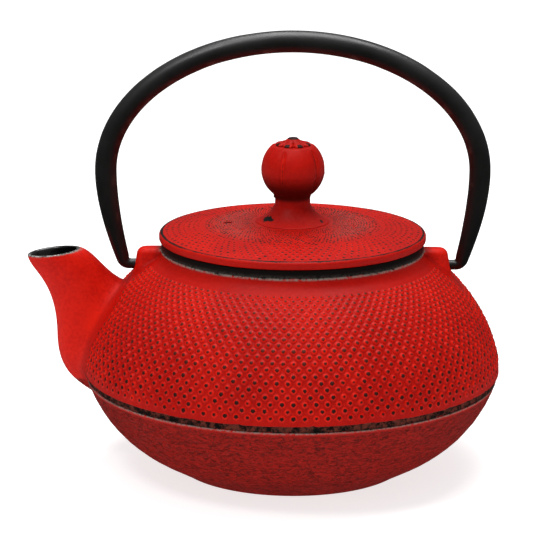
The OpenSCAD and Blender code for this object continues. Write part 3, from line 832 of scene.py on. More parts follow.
def potOutlines():
    # three outlines as (r, z): from the foot up to the nails, from the nails up to the rim, and down inside
    wall, foot, throat, bore = pot["wall"], pot["footRadius"], pot["throat"], pot["neckBore"]
    neck, top, seat, ledge = pot["neckRadius"], pot["neckTop"], pot["seatHeight"], pot["scuffHeight"]
    beltR, beltZ = bellyTop
    backR = beltR - pot["bandDepth"]
    lipR, lipZ = pot["lipRadius"], pot["lipHeight"]
    rows = -potNails["plainBelow"], potNails["rows"] + potNails["plainAbove"]
    lowAngle, highAngle = (float(np.interp(row, fineRow, fineTurn)) for row in rows)
    below = np.concatenate([
        [[9, 0], [20, 0], [31, 0], [foot - pot["footEdge"], 0], [foot - 0.15, 0.12], [foot + 0.3, 0.5]],
        arcPoints(bellyCentre, pot["bellyArc"], bellyStart, bellyStart + bellyTurn - 0.35, 64),
        [[beltR - 0.02, beltZ], [beltR - 0.12, beltZ + 0.13], [backR + 0.04, beltZ + 0.24],
         [backR, beltZ + 0.45], [backR, 33.9], [backR, 34.7], [backR + 0.03, lipZ - 0.3],
         [backR + 0.3, lipZ - 0.12], [lipR - 0.3, lipZ - 0.04], [lipR - 0.05, lipZ + 0.12]],
        arcPoints(shoulderCentre, pot["shoulderArc"], lipTurn + 0.4, lowAngle, 1)])
    above = np.concatenate([
        arcPoints(shoulderCentre, pot["shoulderArc"], highAngle, filletTurn - 0.3, 3),
        arcPoints(filletCentre, pot["neckFillet"], filletTurn + 180, 193, 8),
        [[neck + 0.30, ledge - 0.45], [neck + 0.30, ledge - 0.1], [neck + 0.12, ledge + 0.1],
         [neck, ledge + 0.35], [neck, 81.0], [neck, top - 0.5],
         [neck - 0.15, top - 0.13], [neck - 0.5, top]]])
    innerShoulder, innerBelly = pot["shoulderArc"] - wall, pot["bellyArc"] - wall
    seatTurn = math.degrees(math.asin((seat - pot["seatMetal"] - shoulderCentre[1]) / innerShoulder))
    throatTurn = math.degrees(math.acos((throat - shoulderCentre[0]) / innerShoulder))
    innerLipTurn = math.degrees(math.asin(pot["shoulderDrop"] / innerShoulder))
    bellyLow = math.radians(bellyStart)
    floorCorner = bellyCentre + innerBelly * np.array([math.cos(bellyLow), math.sin(bellyLow)])
    floorR = floorCorner[0] - (floorCorner[1] - wall) / math.tan(math.radians(pot["footSlope"]))
    within = np.concatenate([
        [[bore + 0.5, top], [bore + 0.12, top - 0.14], [bore, top - 0.5], [bore, 80.0], [bore, seat + 0.25],
         [bore - 0.25, seat], [throat + 0.3, seat], [throat, seat - 0.3]],
        [[throat, seat - pot["seatMetal"]]] if seatTurn < throatTurn else np.zeros((0, 2)),
        arcPoints(shoulderCentre, innerShoulder, min(seatTurn, throatTurn), innerLipTurn, 18),
        arcPoints(bellyCentre, innerBelly, bellyStart + bellyTurn, bellyStart, 12),
        [[floorR + 1.0, wall + 0.5], [floorR - 0.8, wall], [24, wall], [12, wall]]])
    return below, above, within


def potShell():
    # the three outlines turned about Z, with the field of nails stitched in between the first two
    sides = 2 * potNails["columns"]
    a = turn * (np.arange(sides) / 2 + 0.5) / potNails["columns"]
    lower, upper, inside = (
        np.stack([line[:, :1] * np.cos(a), line[:, :1] * np.sin(a), line[:, 1:] + 0 * a], -1)
        for line in potOutlines())
    # wrinkled sand-cast skin under the band: noise in flat cells, pushed outwards
    wrinkle = castNoise(lower, (4.6, 4.6, 1.15), 3) * 0.6 + castNoise(lower, (2.1, 2.1, 0.7), 4) * 0.5
    height = lower[..., 2]
    fade = smoothStep(0.6, 3.0, height) * smoothStep(bellyTop[1] - 0.2, bellyTop[1] - 1.6, height)
    radial = lower / np.maximum(np.linalg.norm(lower[..., :2], axis=-1, keepdims=True), 1)
    lower = lower + (pot["wrinkleDepth"] * (wrinkle - 0.45) * fade)[..., None] * radial * [1, 1, 0]

    def nailStrength(points, row):
        # none beside the spout and the lugs, lower in the first row, and uneven in broad patches
        across = np.abs(points[:, 1])
        away = across - np.interp(points[:, 2], spout["plainHeights"], spout["plainHalfWidths"])
        lugAway = np.maximum(across - lug["clearHalfWidth"],
                             np.hypot(points[:, 0], points[:, 1]) - lug["clearFrom"])
        atSpout = np.where(points[:, 0] < 0, smoothStep(-0.8, 1.6, away), 1)
        uneven = 0.82 + 0.18 * castNoise(points, 14.0, 9)
        return atSpout * smoothStep(-0.5, 1.5, lugAway) * uneven * smoothStep(-0.6, 0.2, row)

    nailPoints, nailFaces, tips, lowLoop, highLoop = hobnailField(potNails, shoulderRow, nailStrength)
    nailStart = lower.shape[0] * sides + 1
    upperStart = nailStart + len(nailPoints)
    insideStart = upperStart + upper.shape[0] * sides
    points = np.concatenate([[[0, 0, 0]], lower.reshape(-1, 3), nailPoints, upper.reshape(-1, 3),
                             inside.reshape(-1, 3), [[0, 0, pot["wall"]]]])
    j = np.arange(sides)
    k = (j + 1) % sides

    def stitch(lowRow, highRow):
        return np.stack([lowRow[j], lowRow[k], highRow[k], highRow[j]], 1)

    lastLower = nailStart - sides + j
    inner = insideStart + (inside.shape[0] - 1) * sides
    red = [gridFaces(lower.shape[0], sides) + 1,
           stitch(lastLower, nailStart + lowLoop),
           stitch(nailStart + highLoop, upperStart + j),
           gridFaces(upper.shape[0], sides) + upperStart,
           nailFaces + nailStart,
           np.stack([1 + k, 1 + j, 0 * j], 1)]
    black = [stitch(insideStart - sides + j, insideStart + j),
             gridFaces(inside.shape[0], sides) + insideStart,
             np.stack([inner + j, inner + k, 0 * j + len(points) - 1], 1)]
    slots = np.repeat([0, 1], [sum(len(f) for f in red), sum(len(f) for f in black)])
    tip = np.zeros(len(points))
    tip[nailStart:upperStart] = tips
    return points, red + black, slots, tip


potWearAndShade = {
    # in mm: a line along the lower edge of the band, one round the neck, and one on the spout's rim
    "beltLine": (0.5, 0.1), "beltStrength": 0.9, "neckLine": (0.55, 0.15), "neckBand": (46.2, 47.4),
    "rimLine": (0.6, 0.15), "rimSide": (3.0, -4.5),   # the rim is rubbed more on its front
    # groundTip: a tip value that lessens the painted shade on the spout and the lugs
    "groundTip": 0.38, "farInside": -5,
}


def potAttributes(piece):
    # where the pot is worn, bare and scuffed, and where its painted shade is lessened, point by point
    p = pointsOf(piece)
    x, y, z = p.T
    r = np.hypot(x, y)
    outlineGap = r - outlineRadius(z)
    never = potWearAndShade["farInside"]
    # the spout and the lugs get less of the painted shade that darkens the ground between the hobnails
    onLug = (np.abs(y) < 7) & (r < 61)
    raised = (outlineGap > 0.9) & ((x < -60) | onLug) & (z < 82)
    kept = np.zeros(len(p), np.float32)
    piece.data.attributes["tip"].data.foreach_get("value", kept)
    plain = potWearAndShade["groundTip"] * smoothStep(0.9, 2.5, outlineGap)
    setAttribute(piece, "tip", np.where(raised & (kept < 0.05), plain, kept))
    # the bare band and the bare neck, in mm from their edges
    band = np.minimum(z - (bellyTop[1] + 0.08), (pot["lipHeight"] + 0.05) - z)
    onSpout = (outlineGap > 0.35) & (x < 0)
    neck = np.where((r < pot["neckRadius"] + 1.2) & (z > 76), z - pot["scuffHeight"], never)
    bare = np.maximum(np.where(onSpout, never, band), neck)
    setAttribute(piece, "bare", np.clip(bare, never, -never))
    # three rubbed lines; depth is measured along the spout's own axis from its mouth
    belt = smoothStep(*potWearAndShade["beltLine"], np.abs(z - bellyTop[1])) * (np.abs(outlineGap) < 0.3) * (r > 70)
    nearest, furthest = potWearAndShade["neckBand"]
    ledge = smoothStep(*potWearAndShade["neckLine"], np.abs(z - pot["scuffHeight"] + 0.1))
    ledge = ledge * (r < furthest) * (r > nearest)
    outer, inner = (edge[0] for edge in spoutEdges(np.array([1.0])))
    mouth, across = (outer + inner) / 2, outer - inner
    axis = np.array([-across[1], across[0]]) / np.linalg.norm(across)
    depth = (x - mouth[0]) * axis[0] + (z - mouth[1]) * axis[1]
    rim = smoothStep(*potWearAndShade["rimLine"], np.abs(depth)) * (x < -70) * smoothStep(*potWearAndShade["rimSide"], y)
    scuff = np.maximum(potWearAndShade["beltStrength"] * belt, ledge)
    setAttribute(piece, "scuff", np.maximum(scuff, rim))


def buildPot():
    points, faces, slots, tip = potShell()
    casting = meshObject("potCasting", points, faces, [potPaint, blackEnamel], slots, {"tip": tip})
    points, faces, slots = spoutSolid()
    tools = [("UNION", meshObject("spoutTool", points, faces, [potPaint, blackEnamel], slots))]
    tools += [("UNION", meshObject("lugTool%d" % side, *lugSolid(side), [potPaint])) for side in (1, -1)]
    points, faces = spoutChannel()
    enamelled = np.ones(sum(len(f) for f in faces), int)
    tools.append(("DIFFERENCE", meshObject("channelTool", points, faces, [potPaint, blackEnamel], enamelled)))
    tools += [("DIFFERENCE", meshObject("boreTool%d" % side, *lugBore(side), [potPaint])) for side in (1, -1)]
    joinSolids(casting, tools)
    potAttributes(casting)
    sharpenBy(casting, 50)
    belongs(casting, "pot", "red_iron", "pot_belly", "pot_shoulder", "pot_spout")
    print("pot:", len(casting.data.polygons), "faces")


buildPot()

lid = {
    "radius": 47.5, "underside": 82.76, "rimRound": 1.1,
    "domeRadius": 277.0, "domeTop": 89.46, "thickness": 3.2,
    "skirtRadius": 41.9, "skirtBore": 38.9, "skirtBottom": 79.06, "rivetHole": 2.52,
    "ventRadius": 1.5, "ventX": -23.0, "smudge": 0.16,
}
# rows of the lid run from its rim inwards; each zone gives its first row's radius
outerNails = {
    "columns": 96, "rows": 7, "rowPitch": 0.74, "firstRadius": 44.7, "radius": 0.37, "height": 0.12,
    "shoulder": 0.42, "innerRing": True, "extra": (0, 1), "jitter": 0.03, "uneven": 0.12,
    "tipSpread": 0.25, "wear": 1.15, "seed": 31,
}
innerNails = {
    "columns": 120, "rows": 20, "rowPitch": 0.74, "firstRadius": 30.9, "radius": 0.36, "height": 0.27,
    "shoulder": 0.5, "innerRing": False, "extra": (0, 0), "jitter": 0.13, "uneven": 0.5,
    "tipSpread": 0.55, "wear": 1.55, "seed": 47,
}


def domeHeight(r):
    # a wide sphere: z = top - R + sqrt(R^2 - r^2)
    return lid["domeTop"] - lid["domeRadius"] + np.sqrt(lid["domeRadius"] ** 2 - np.asarray(r, float) ** 2)


def domeRow(nails):
    # a row further in is smaller by the same share, so that its cells keep their shape: r = first e^(-step v)
    step = turn * nails["rowPitch"] / nails["columns"]

    def place(v):
        r = nails["firstRadius"] * np.exp(-step * np.asarray(v, float))
        return r, domeHeight(r), r / lid["domeRadius"], np.sqrt(1 - (r / lid["domeRadius"]) ** 2)
    return place


def loopAngles(points):
    # directions of a loop's points round Z, with no jump at a whole turn
    return np.unwrap(np.arctan2(points[:, 1], points[:, 0]))


def turnedThrough(profile, a):
    # a profile (r, z) turned about Z through given directions: x = r cos a, y = r sin a
    return np.stack([profile[:, :1] * np.cos(a), profile[:, :1] * np.sin(a), profile[:, 1:] + 0 * a], -1)


def lidOutlines():
    # enamelled outline from the rivet hole under the lid, round the skirt, to the rim; then the painted rim
    bore, skirt, bottom, base = lid["skirtBore"], lid["skirtRadius"], lid["skirtBottom"], lid["underside"]
    under = [[r, float(domeHeight(r)) - lid["thickness"]]
             for r in np.linspace(lid["rivetHole"] + 0.02, bore - 1.2, 9)]
    ceiling = under[-1][1]
    black = np.array(under + [
        [bore - 0.35, ceiling - 0.35], [bore, ceiling - 1.3], [bore, bottom + 0.5],
        [bore + 0.15, bottom + 0.12], [bore + 0.5, bottom], [skirt - 0.5, bottom],
        [skirt - 0.15, bottom + 0.12], [skirt, bottom + 0.5], [skirt, base - 0.5],
        [skirt + 0.5, base], [lid["radius"] - 1.6, base]])
    rimCorner = lid["radius"] - lid["rimRound"]
    rimHeight = float(domeHeight(rimCorner)) - lid["rimRound"]
    red = np.concatenate([
        arcPoints((rimCorner + 0.5, base + 0.6), 0.6, -90, 0, 4),
        arcPoints((rimCorner, rimHeight), lid["rimRound"], 0, 84, 10)])
    return black, red, rimHeight


def buildLid():
    # from the rivet hole round the skirt and the rim, then up the dome over two fields of nails to the hole
    def thinned(points, row):
        # the nails are uneven in patches, and rise over the first rows
        return (0.80 + 0.20 * castNoise(points, 7.0, 12)) * smoothStep(-1.0, 1.5, row)

    outPoints, outFaces, outTips, outLow, outHigh = hobnailField(outerNails, domeRow(outerNails), thinned)
    inPoints, inFaces, inTips, inLow, inHigh = hobnailField(innerNails, domeRow(innerNails), thinned)
    black, red, rimHeight = lidOutlines()
    profile = np.concatenate([black, red])
    # the rim's rings stand where the first row of corners stands
    a = loopAngles(outPoints[outLow])
    rings = turnedThrough(profile, a)
    wobble = castNoise(rings, 11.0, 61) * 0.05 + castNoise(rings, 3.0, 62) * 0.02
    r = np.hypot(rings[..., 0], rings[..., 1])
    rings[..., 2] += wobble * smoothStep(lid["radius"] - 3, lid["radius"], r)
    # plain rings under the knob's foot
    plain = np.array([[r, float(domeHeight(r))] for r in (13.6, 11.0, 8.0, 5.0, lid["rivetHole"])])
    b = loopAngles(inPoints[inHigh])
    middle = turnedThrough(plain, b)
    points = np.concatenate([rings.reshape(-1, 3), outPoints, inPoints, middle.reshape(-1, 3)])
    outStart, inStart, middleStart = np.cumsum([len(profile) * len(a), len(outPoints), len(inPoints)])
    j = np.arange(len(a))
    k = (j + 1) % len(a)
    m = np.arange(len(b))
    n = (m + 1) % len(b)
    lastRing = outStart - len(a)
    lastMiddle = middleStart + (len(plain) - 1) * len(b)
    faces = [
        gridFaces(len(profile), len(a)),
        np.stack([lastRing + j, lastRing + k, outStart + outLow[k], outStart + outLow[j]], 1),
        outFaces + outStart,
        stripOutwards(loopAngles(inPoints[inLow]), loopAngles(outPoints[outHigh]),
                      inStart + inLow[0], outStart + outHigh[0]),
        inFaces + inStart,
        np.stack([inStart + inHigh[m], inStart + inHigh[n], middleStart + n, middleStart + m], 1),
        gridFaces(len(plain), len(b)) + middleStart,
        stripBetween(b, a, lastMiddle, 0)]
    slots = np.zeros(sum(len(f) for f in faces), int)
    slots[:(len(black) - 1) * len(a)] = 1
    tip = np.zeros(len(points))
    tip[outStart:middleStart] = np.concatenate([outTips, inTips])
    casting = meshObject("lidCasting", points, faces, [lidPaint, blackEnamel], slots, {"tip": tip})
    drillLow, drillHigh = lid["underside"] - 1, lid["domeTop"] + 1
    vent = turned([[lid["ventRadius"], drillLow], [lid["ventRadius"], drillHigh]], 32)
    vent[..., 0] += lid["ventX"]
    drill = closedSkin(vent, [lid["ventX"], 0, drillLow], [lid["ventX"], 0, drillHigh])
    joinSolids(casting, [("DIFFERENCE", meshObject("ventTool", *drill, [lidPaint]))])
    p = pointsOf(casting)
    r = np.hypot(p[:, 0], p[:, 1])
    # a thin worn line along the top of the rim, missing here and there
    edge = np.abs(r - (lid["radius"] - 0.95))
    line = 0.36 - edge + 0.22 * castNoise(p, 6.0, 77)
    setAttribute(casting, "bare", np.where(p[:, 2] > rimHeight + 0.7, line, -5).clip(-5, 5))
    # a faint smudge on both sides of the knob
    smudge = smoothStep(33, 24, r) * lid["smudge"] * smoothStep(9, 20, np.abs(p[:, 0])) * (p[:, 2] > 86)
    setAttribute(casting, "scuff", smudge)
    sharpenBy(casting, 50)
    belongs(casting, "lid", "red_iron", "lid")
    print("lid:", len(casting.data.polygons), "faces")


buildLid()

knob = {
    "ballRadius": 11.3, "ballHeight": 108.26, "stemRadius": 6.3, "footRadius": 13.2, "flareTop": 6.4,
    "flare": [(11.6, 0.9), (7.6, 2.6)], "flowerRadius": 6.4, "flowerThickness": 1.2,
    "nubRadius": 2.3, "nubHeight": 2.0, "hole": 2.52, "holeTop": 101.46, "holeBottom": 95.0,
    # the last number on the next line is how strong the painted shade in the grooves is
    "grooves": 5, "firstGroove": -111.0, "grooveDepth": 0.80, "grooveWidth": 4.6, "grooveShade": 0.52,
    "petals": 8, "petalDepth": 0.22, "furrowDepth": 0.5, "sides": 240,
    # the mould's parting line round the ball, and a flash nub beside the stem
    "partingHeight": 0.10, "partingWidth": 0.35, "flashAngle": -158, "flashLevel": 98.6, "flashHeight": 0.9,
    # two bare spots on the flare, each a middle and a half size
    "bareSpots": [((-8.6, -5.0, 91.0), (2.8, 3.0, 1.0)), ((10.2, -5.0, 90.4), (0.8, 1.2, 0.7))],
}


def knobProfile():
    # up the rivet's blind hole, out under the foot, up flare, stem and ball, and over the flower to the nub
    hole, foot, stem = knob["hole"], knob["footRadius"], knob["stemRadius"]
    ball, level, petal = knob["ballRadius"], knob["ballHeight"], knob["flowerRadius"]
    edge = float(domeHeight(foot)) + 0.02
    top = level + math.sqrt(ball ** 2 - petal ** 2)
    low = top - knob["flowerThickness"]
    start = math.degrees(math.asin(-math.sqrt(1 - (stem / ball) ** 2)))
    end = math.degrees(math.asin((low + 0.2 - level) / ball))
    # the foot spreads along a curve of four control points (r, height over its edge), upright at the stem
    flare = bezier([(foot - 0.1, 0.2)] + knob["flare"] + [(stem, knob["flareTop"])], np.linspace(0, 1, 15))
    flare[:, 1] += edge
    nub = top + knob["nubHeight"]
    blind = knob["holeTop"]
    within = [[0, blind], [1.2, blind], [hole, blind], [hole, knob["holeBottom"]]]
    under = [[r, float(domeHeight(r)) + 0.02] for r in (hole, 6.0, 10.0)]
    footEdge = [[foot - 0.15, edge + 0.01], [foot, edge + 0.10]]
    upStem = [[stem, 96.4], [stem, 97.6], [stem + 0.15, 98.6]]
    flower = [[petal - 0.05, low + 0.35], [petal, low + 0.6], [petal - 0.15, top - 0.3],
              [petal - 0.55, top - 0.06], [petal - 1.2, top + 0.12],
              [4.4, top + 0.26], [3.5, top + 0.52], [2.9, top + 0.80],
              [knob["nubRadius"], top + 1.15], [1.9, top + 1.55],
              [1.5, nub - 0.16], [1.0, nub - 0.05], [0.5, nub - 0.01], [0, nub]]
    upBall = arcPoints((0, level), ball, start + 4, end, 44)
    firstOutside = len(within + under + footEdge)   # in rings, which leave out the two poles
    return np.concatenate([within, under, footEdge, flare, upStem, upBall, flower]), top, firstOutside


def buildKnob():
    # the profile turned about Z, with grooves, petals and skin as changes of radius
    profile, top, firstOutside = knobProfile()
    a = turn * np.arange(knob["sides"]) / knob["sides"]
    rings = turned(profile[1:-1], knob["sides"])
    z = rings[..., 2]
    outside = (np.arange(len(rings)) >= firstOutside)[:, None]
    # grooves: a Gaussian dip round each groove's direction, deepest half way up the ball
    first = math.radians(knob["firstGroove"])
    spread = turn / knob["grooves"]
    away = np.abs((a - first + spread / 2) % spread - spread / 2)
    groove = np.exp(-(away / math.radians(knob["grooveWidth"])) ** 2)
    onBall = smoothStep(99.0, 103.5, z) * smoothStep(top - 1.3, top - 3.2, z)
    # petals: the flower's edge dips between them as 1 - |cos|, and its top is furrowed along the same lines
    furrow = 1 - np.abs(np.cos(knob["petals"] / 2 * (a - first)))
    r = np.hypot(rings[..., 0], rings[..., 1])
    onFlower = smoothStep(top - 1.35, top - 0.9, z) * smoothStep(2.5, 4.0, r)
    change = -knob["grooveDepth"] * groove * onBall - knob["petalDepth"] * furrow ** 2 * r * onFlower
    fromParting = (z - knob["ballHeight"] + 1.6) / knob["partingWidth"]
    change = change + knob["partingHeight"] * np.exp(-fromParting ** 2)
    skin = castNoise(rings, 3.4, 15) * 0.07 + castNoise(rings, 1.3, 16) * 0.03
    change = np.where(outside, change + skin * smoothStep(90.0, 91.5, z), 0)
    rings[..., :2] *= (1 + change / r)[..., None]
    onTop = onFlower * smoothStep(6.4, 4.5, r) * (z > top - 0.6)
    rings[..., 2] -= np.where(outside, knob["furrowDepth"] * furrow ** 3 * onTop, 0)
    # the flash nub is a Gaussian bump in angle and height; its angle is met from both sides of a whole turn
    flash = 0
    for at in (math.radians(knob["flashAngle"]), turn + math.radians(knob["flashAngle"])):
        flash = flash + np.exp(-((a - at) / 0.09) ** 2) * np.exp(-((z - knob["flashLevel"]) / 0.7) ** 2)
    rings[..., :2] *= (1 + knob["flashHeight"] * np.where(outside, flash, 0) / r)[..., None]
    points, faces = closedSkin(rings, [0, 0, profile[0][1]], [0, 0, profile[-1][1]])
    casting = meshObject("knobCasting", points, faces, [lidPaint])
    p = pointsOf(casting)
    r, angle = np.hypot(p[:, 0], p[:, 1]), np.arctan2(p[:, 1], p[:, 0])
    petalTip = np.abs(np.cos(knob["petals"] / 2 * (angle - first))) ** 3
    petalTip = petalTip * smoothStep(4.5, 5.4, r) * (p[:, 2] > top - 0.7)
    nubTip = smoothStep(top + 1.2, top + 1.8, p[:, 2])
    # painted shade in the grooves: they take the dark colour of a worn tip
    grooveShadeLine = np.append((groove[None] ** 3 * onBall).ravel(), [0, 0]) * knob["grooveShade"]
    setAttribute(casting, "tip", np.maximum(np.maximum(petalTip, nubTip), grooveShadeLine))
    spots = [np.linalg.norm((p - middle) / size, axis=1) for middle, size in knob["bareSpots"]]
    setAttribute(casting, "bare", 0.85 - np.minimum(*spots).clip(0, 5) + 0.5 * castNoise(p, 0.9, 83))
    setAttribute(casting, "scuff", np.zeros(len(p)))
    sharpenBy(casting, 60)
    belongs(casting, "lid", "red_iron", "lid_knob")
    print("knob:", len(casting.data.polygons), "faces")


buildKnob()

fixing = {
    "rivetRadius": 2.5, "rivetTop": 101.44, "headRadius": 5.0, "headLow": 83.31, "headHigh": 84.91,
    "washerRadius": 8.0, "washerLow": 84.93, "washerHigh": 86.13, "washerBore": 2.52,
}


def buildFixing():
    # two turned pieces: the rivet is a profile from pole to pole, the washer a rounded closed loop
    high, low, head = fixing["headHigh"], fixing["headLow"], fixing["headRadius"]
    shank, top = fixing["rivetRadius"], fixing["rivetTop"]
    # the head is a shallow dome: an ellipse from its edge to its middle
    a = np.linspace(0, math.pi / 2, 12)
    dome = np.stack([head * np.sin(a), low + (high - low - 0.35) * (1 - np.cos(a))], 1)
    profile = np.concatenate([dome, [
        [head, high - 0.15], [head - 0.15, high], [shank + 0.25, high], [shank, high + 0.25], [shank, 93.0],
        [shank, top - 0.4], [shank - 0.4, top], [0, top]]])
    points, faces = turnedSolid(profile, 96)
    points[:, 2] += castNoise(points, 1.6, 33) * 0.05 * smoothStep(high - 0.2, low + 0.2, points[:, 2])
    rivet = meshObject("rivetBody", points, faces, [fixingSteel])
    bore, edge = fixing["washerBore"], fixing["washerRadius"]
    corners = [(bore, fixing["washerHigh"], 0.12), (bore, fixing["washerLow"], 0.12),
               (edge, fixing["washerLow"], 0.3), (edge, fixing["washerHigh"], 0.15)]
    washer = meshObject("washerRing", *turnedRing(softCorners(corners), 96), [fixingSteel])
    for piece, node in ((rivet, "knob_rivet"), (washer, "knob_washer")):
        sharpenBy(piece, 50)
        belongs(piece, "lid", "fixing_steel", node)
    print("rivet and washer made")


buildFixing()

handle = {
    "halfSpan": 66.2, "archHeight": 46.4, "archLow": 107.27,
    "tubeRadius": 3.9, "hookRadius": 2.4, "pegRadius": 1.8, "pegEnd": 50.5,
    "leg": [(66.2, 107.27), (66.2, 94.8), (60.6, 76.07)],
    "hook": [(60.6, 76.07), (60.1, 73.47), (57.6, 73.47)],
    "seamDepth": 0.55, "seamWidth": 0.45, "flatness": 0.16, "sides": 44,
}


def handleLine():
    # half of the middle line as (x, z, radius), from the top down one leg, round the hook and along the peg:
    # an ellipse, then two quadratic curves along which the radius narrows
    a = np.linspace(0, math.pi / 2, 80)
    arch = np.stack([handle["halfSpan"] * np.sin(a), handle["archLow"] + handle["archHeight"] * np.cos(a),
                     np.full(len(a), handle["tubeRadius"])], 1)
    parts = [arch]
    thick, thin, peg = handle["tubeRadius"], handle["hookRadius"], handle["pegRadius"]
    for curve, steps, start, end, power in (
            (handle["leg"], 34, thick, thin, 2), (handle["hook"], 12, thin, peg, 1)):
        t = np.linspace(0, 1, steps + 1)[1:, None]
        c = np.array(curve)
        path = (1 - t) ** 2 * c[0] + 2 * t * (1 - t) * c[1] + t * t * c[2]
        parts.append(np.concatenate([path, blendTo(start, end, t ** power)], 1))
    low, tip = handle["hook"][-1][1], handle["pegEnd"]
    parts.append(np.array([[55.0, low, peg], [53.0, low, peg], [tip + 0.35, low, peg],
                           [tip + 0.08, low, peg - 0.12], [tip, low, peg - 0.4]]))
    half = np.concatenate(parts)
    return np.concatenate([half[::-1] * [-1, 1, 1], half[1:]])


def buildHandle():
    # a tube along the middle line: point = line + radius (cos a side + sin a y), with a groove for the seam
    line = handleLine()
    ahead = np.gradient(line[:, :2], axis=0)
    ahead /= np.linalg.norm(ahead, axis=1, keepdims=True)
    side = np.stack([-ahead[:, 1], ahead[:, 0]], 1)       # points away from the middle of the bail
    # directions round the tube, closer together at the seam, which faces the middle of the bail
    even = np.linspace(0, turn, handle["sides"], endpoint=False)
    w = np.angle(np.exp(1j * (even - math.pi)))
    around = np.sort(math.pi + w * (0.42 + 0.58 * (np.abs(w) / math.pi) ** 1.2))
    # only the thick part is rolled sheet: it has the seam, is a little flat, and is dented
    tube = smoothStep(handle["hookRadius"], handle["tubeRadius"] - 0.3, line[:, 2])[:, None]
    reach = np.abs(np.angle(np.exp(1j * (around - math.pi))))[None] * line[:, 2:]
    dip = handle["seamDepth"] * tube * np.exp(-(reach / handle["seamWidth"]) ** 2)
    flat = -handle["flatness"] * tube * np.abs(np.sin(around)) ** 2
    radius = line[:, 2:] - dip + flat

    def aside(cos, sin):
        return np.stack([side[:, :1] * cos, sin, side[:, 1:] * cos], -1)

    middle = np.stack([line[:, 0], 0 * line[:, 0], line[:, 1]], -1)[:, None]
    rings = middle + aside(np.cos(around) * radius, np.sin(around) * radius)
    dent = castNoise(rings, 13.0, 41) * 0.12 + castNoise(rings, 4.0, 42) * 0.04
    dent = np.minimum(dent, 0.0) * tube
    rings = rings + dent[..., None] * aside(np.cos(around), 0 * line[:, :1] + np.sin(around))
    first, last = line[0], line[-1]
    points, faces = closedSkin(rings[:, ::-1], [first[0], 0, first[1]], [last[0], 0, last[1]])
    bail = meshObject("bailTube", points, faces, [blackLacquer])
    # rusty spots along the inner side
    inner = ((np.cos(around) < -0.55)[None] * tube)[:, ::-1].ravel()
    spots = smoothStep(0.25, 0.6, castNoise(pointsOf(bail), 2.4, 51)) * np.concatenate([inner, [0, 0]])
    setAttribute(bail, "scuff", spots)
    belongs(bail, "handle", "black_iron", "bail_handle")
    print("handle:", len(bail.data.polygons), "faces")


buildHandle()

infuser = {
    "flangeRadius": 41.9, "flangeLow": 77.56, "flangeHigh": 78.36,
    "collarLow": 69.56, "collarOut": 38.4, "collarIn": 37.9,
    "wallMiddle": 37.63, "wallLow": 30.08, "wallHigh": 71.56, "wire": 0.25, "weave": 0.125,
    "uprights": 148, "hoops": 27, "meshRadius": 37.3, "meshMiddle": 30.33, "meshPitch": 1.5,
    "stripWidth": 6.0, "stripLow": 32.58, "stripHigh": 69.54,
    "ringLow": 29.56, "ringHigh": 32.56, "lipBore": 35.4, "lipThickness": 0.5,
}


def wireTubes(paths, sideways, thickness, closed):
    # four-sided wires along many paths at once: path plus and minus half the thickness along sideways, and
    # along the direction square to that and to the path
    ahead = (np.roll(paths, -1, 1) - np.roll(paths, 1, 1)) if closed else np.gradient(paths, axis=1)
    other = np.cross(ahead, sideways)
    other /= np.linalg.norm(other, axis=-1, keepdims=True)
    half = thickness / 2
    # corners lie on the wire's own circle
    rings = np.stack([paths + half * direction for direction in (sideways, other, -sideways, -other)], 2)
    wires, steps = paths.shape[:2]
    grid = gridFaces(steps, 4, closed)
    faces = [(grid[None] + (np.arange(wires) * steps * 4)[:, None, None]).reshape(-1, 4)]
    if not closed:
        start = (np.arange(wires) * steps * 4)[:, None]
        faces.append(start + np.array([[3, 2, 1, 0]]))
        faces.append(start + (steps - 1) * 4 + np.array([[0, 1, 2, 3]]))
    return rings.reshape(-1, 3), faces


def gathered(parts):
    # several (points, face groups) in one mesh
    starts = np.cumsum([0] + [len(p) for p, f in parts])
    return np.concatenate([p for p, f in parts]), [g + s for (p, f), s in zip(parts, starts) for g in f]


def wovenWall():
    # uprights and hoops pass each other: r = middle + weave cos(pi (hoop + upright)), and minus for a hoop
    hoops, uprights = infuser["hoops"], infuser["uprights"]
    low, high = infuser["wallLow"] + 0.5, infuser["wallHigh"] - 0.5

    def paths(hoop, upright, sign):
        a = turn * upright / uprights
        r = infuser["wallMiddle"] + sign * infuser["weave"] * np.cos(math.pi * (hoop + upright))
        z = low + (high - low) * hoop / (hoops - 1)
        return np.stack([r * np.cos(a), r * np.sin(a), z + 0 * r], -1), a + 0 * r

    upPaths, a = paths(np.linspace(-0.45, hoops - 0.55, 2 * hoops + 1)[None], np.arange(uprights)[:, None], 1)
    across = np.stack([-np.sin(a), np.cos(a), 0 * a], -1)
    hoopPaths, a = paths(np.arange(hoops)[:, None], np.arange(2 * uprights)[None] / 2, -1)
    down = np.zeros_like(hoopPaths) + [0, 0, -1]
    return gathered([wireTubes(upPaths, across, infuser["wire"], False),
                     wireTubes(hoopPaths, down, infuser["wire"], True)])


def wovenBase():
    # straight wires both ways, each cut off at the disc's edge and waved over and under the others
    pitch, edge = infuser["meshPitch"], infuser["meshRadius"]
    count = int(edge / pitch)
    number = np.arange(-count, count + 1)
    offset = number * pitch
    half = np.sqrt(edge ** 2 - offset ** 2)
    s = np.linspace(-1, 1, 4 * count + 1)[None] * half[:, None]
    z = infuser["meshMiddle"] + infuser["weave"] * np.cos(math.pi * (s / pitch + number[:, None]))
    beside = offset[:, None] + 0 * s
    alongX = np.stack([s, beside, z], -1)
    alongY = np.stack([beside, s, 2 * infuser["meshMiddle"] - z], -1)
    return gathered([wireTubes(alongX, np.zeros_like(alongX) + [0, 1, 0], infuser["wire"], False),
                     wireTubes(alongY, np.zeros_like(alongY) + [-1, 0, 0], infuser["wire"], False)])


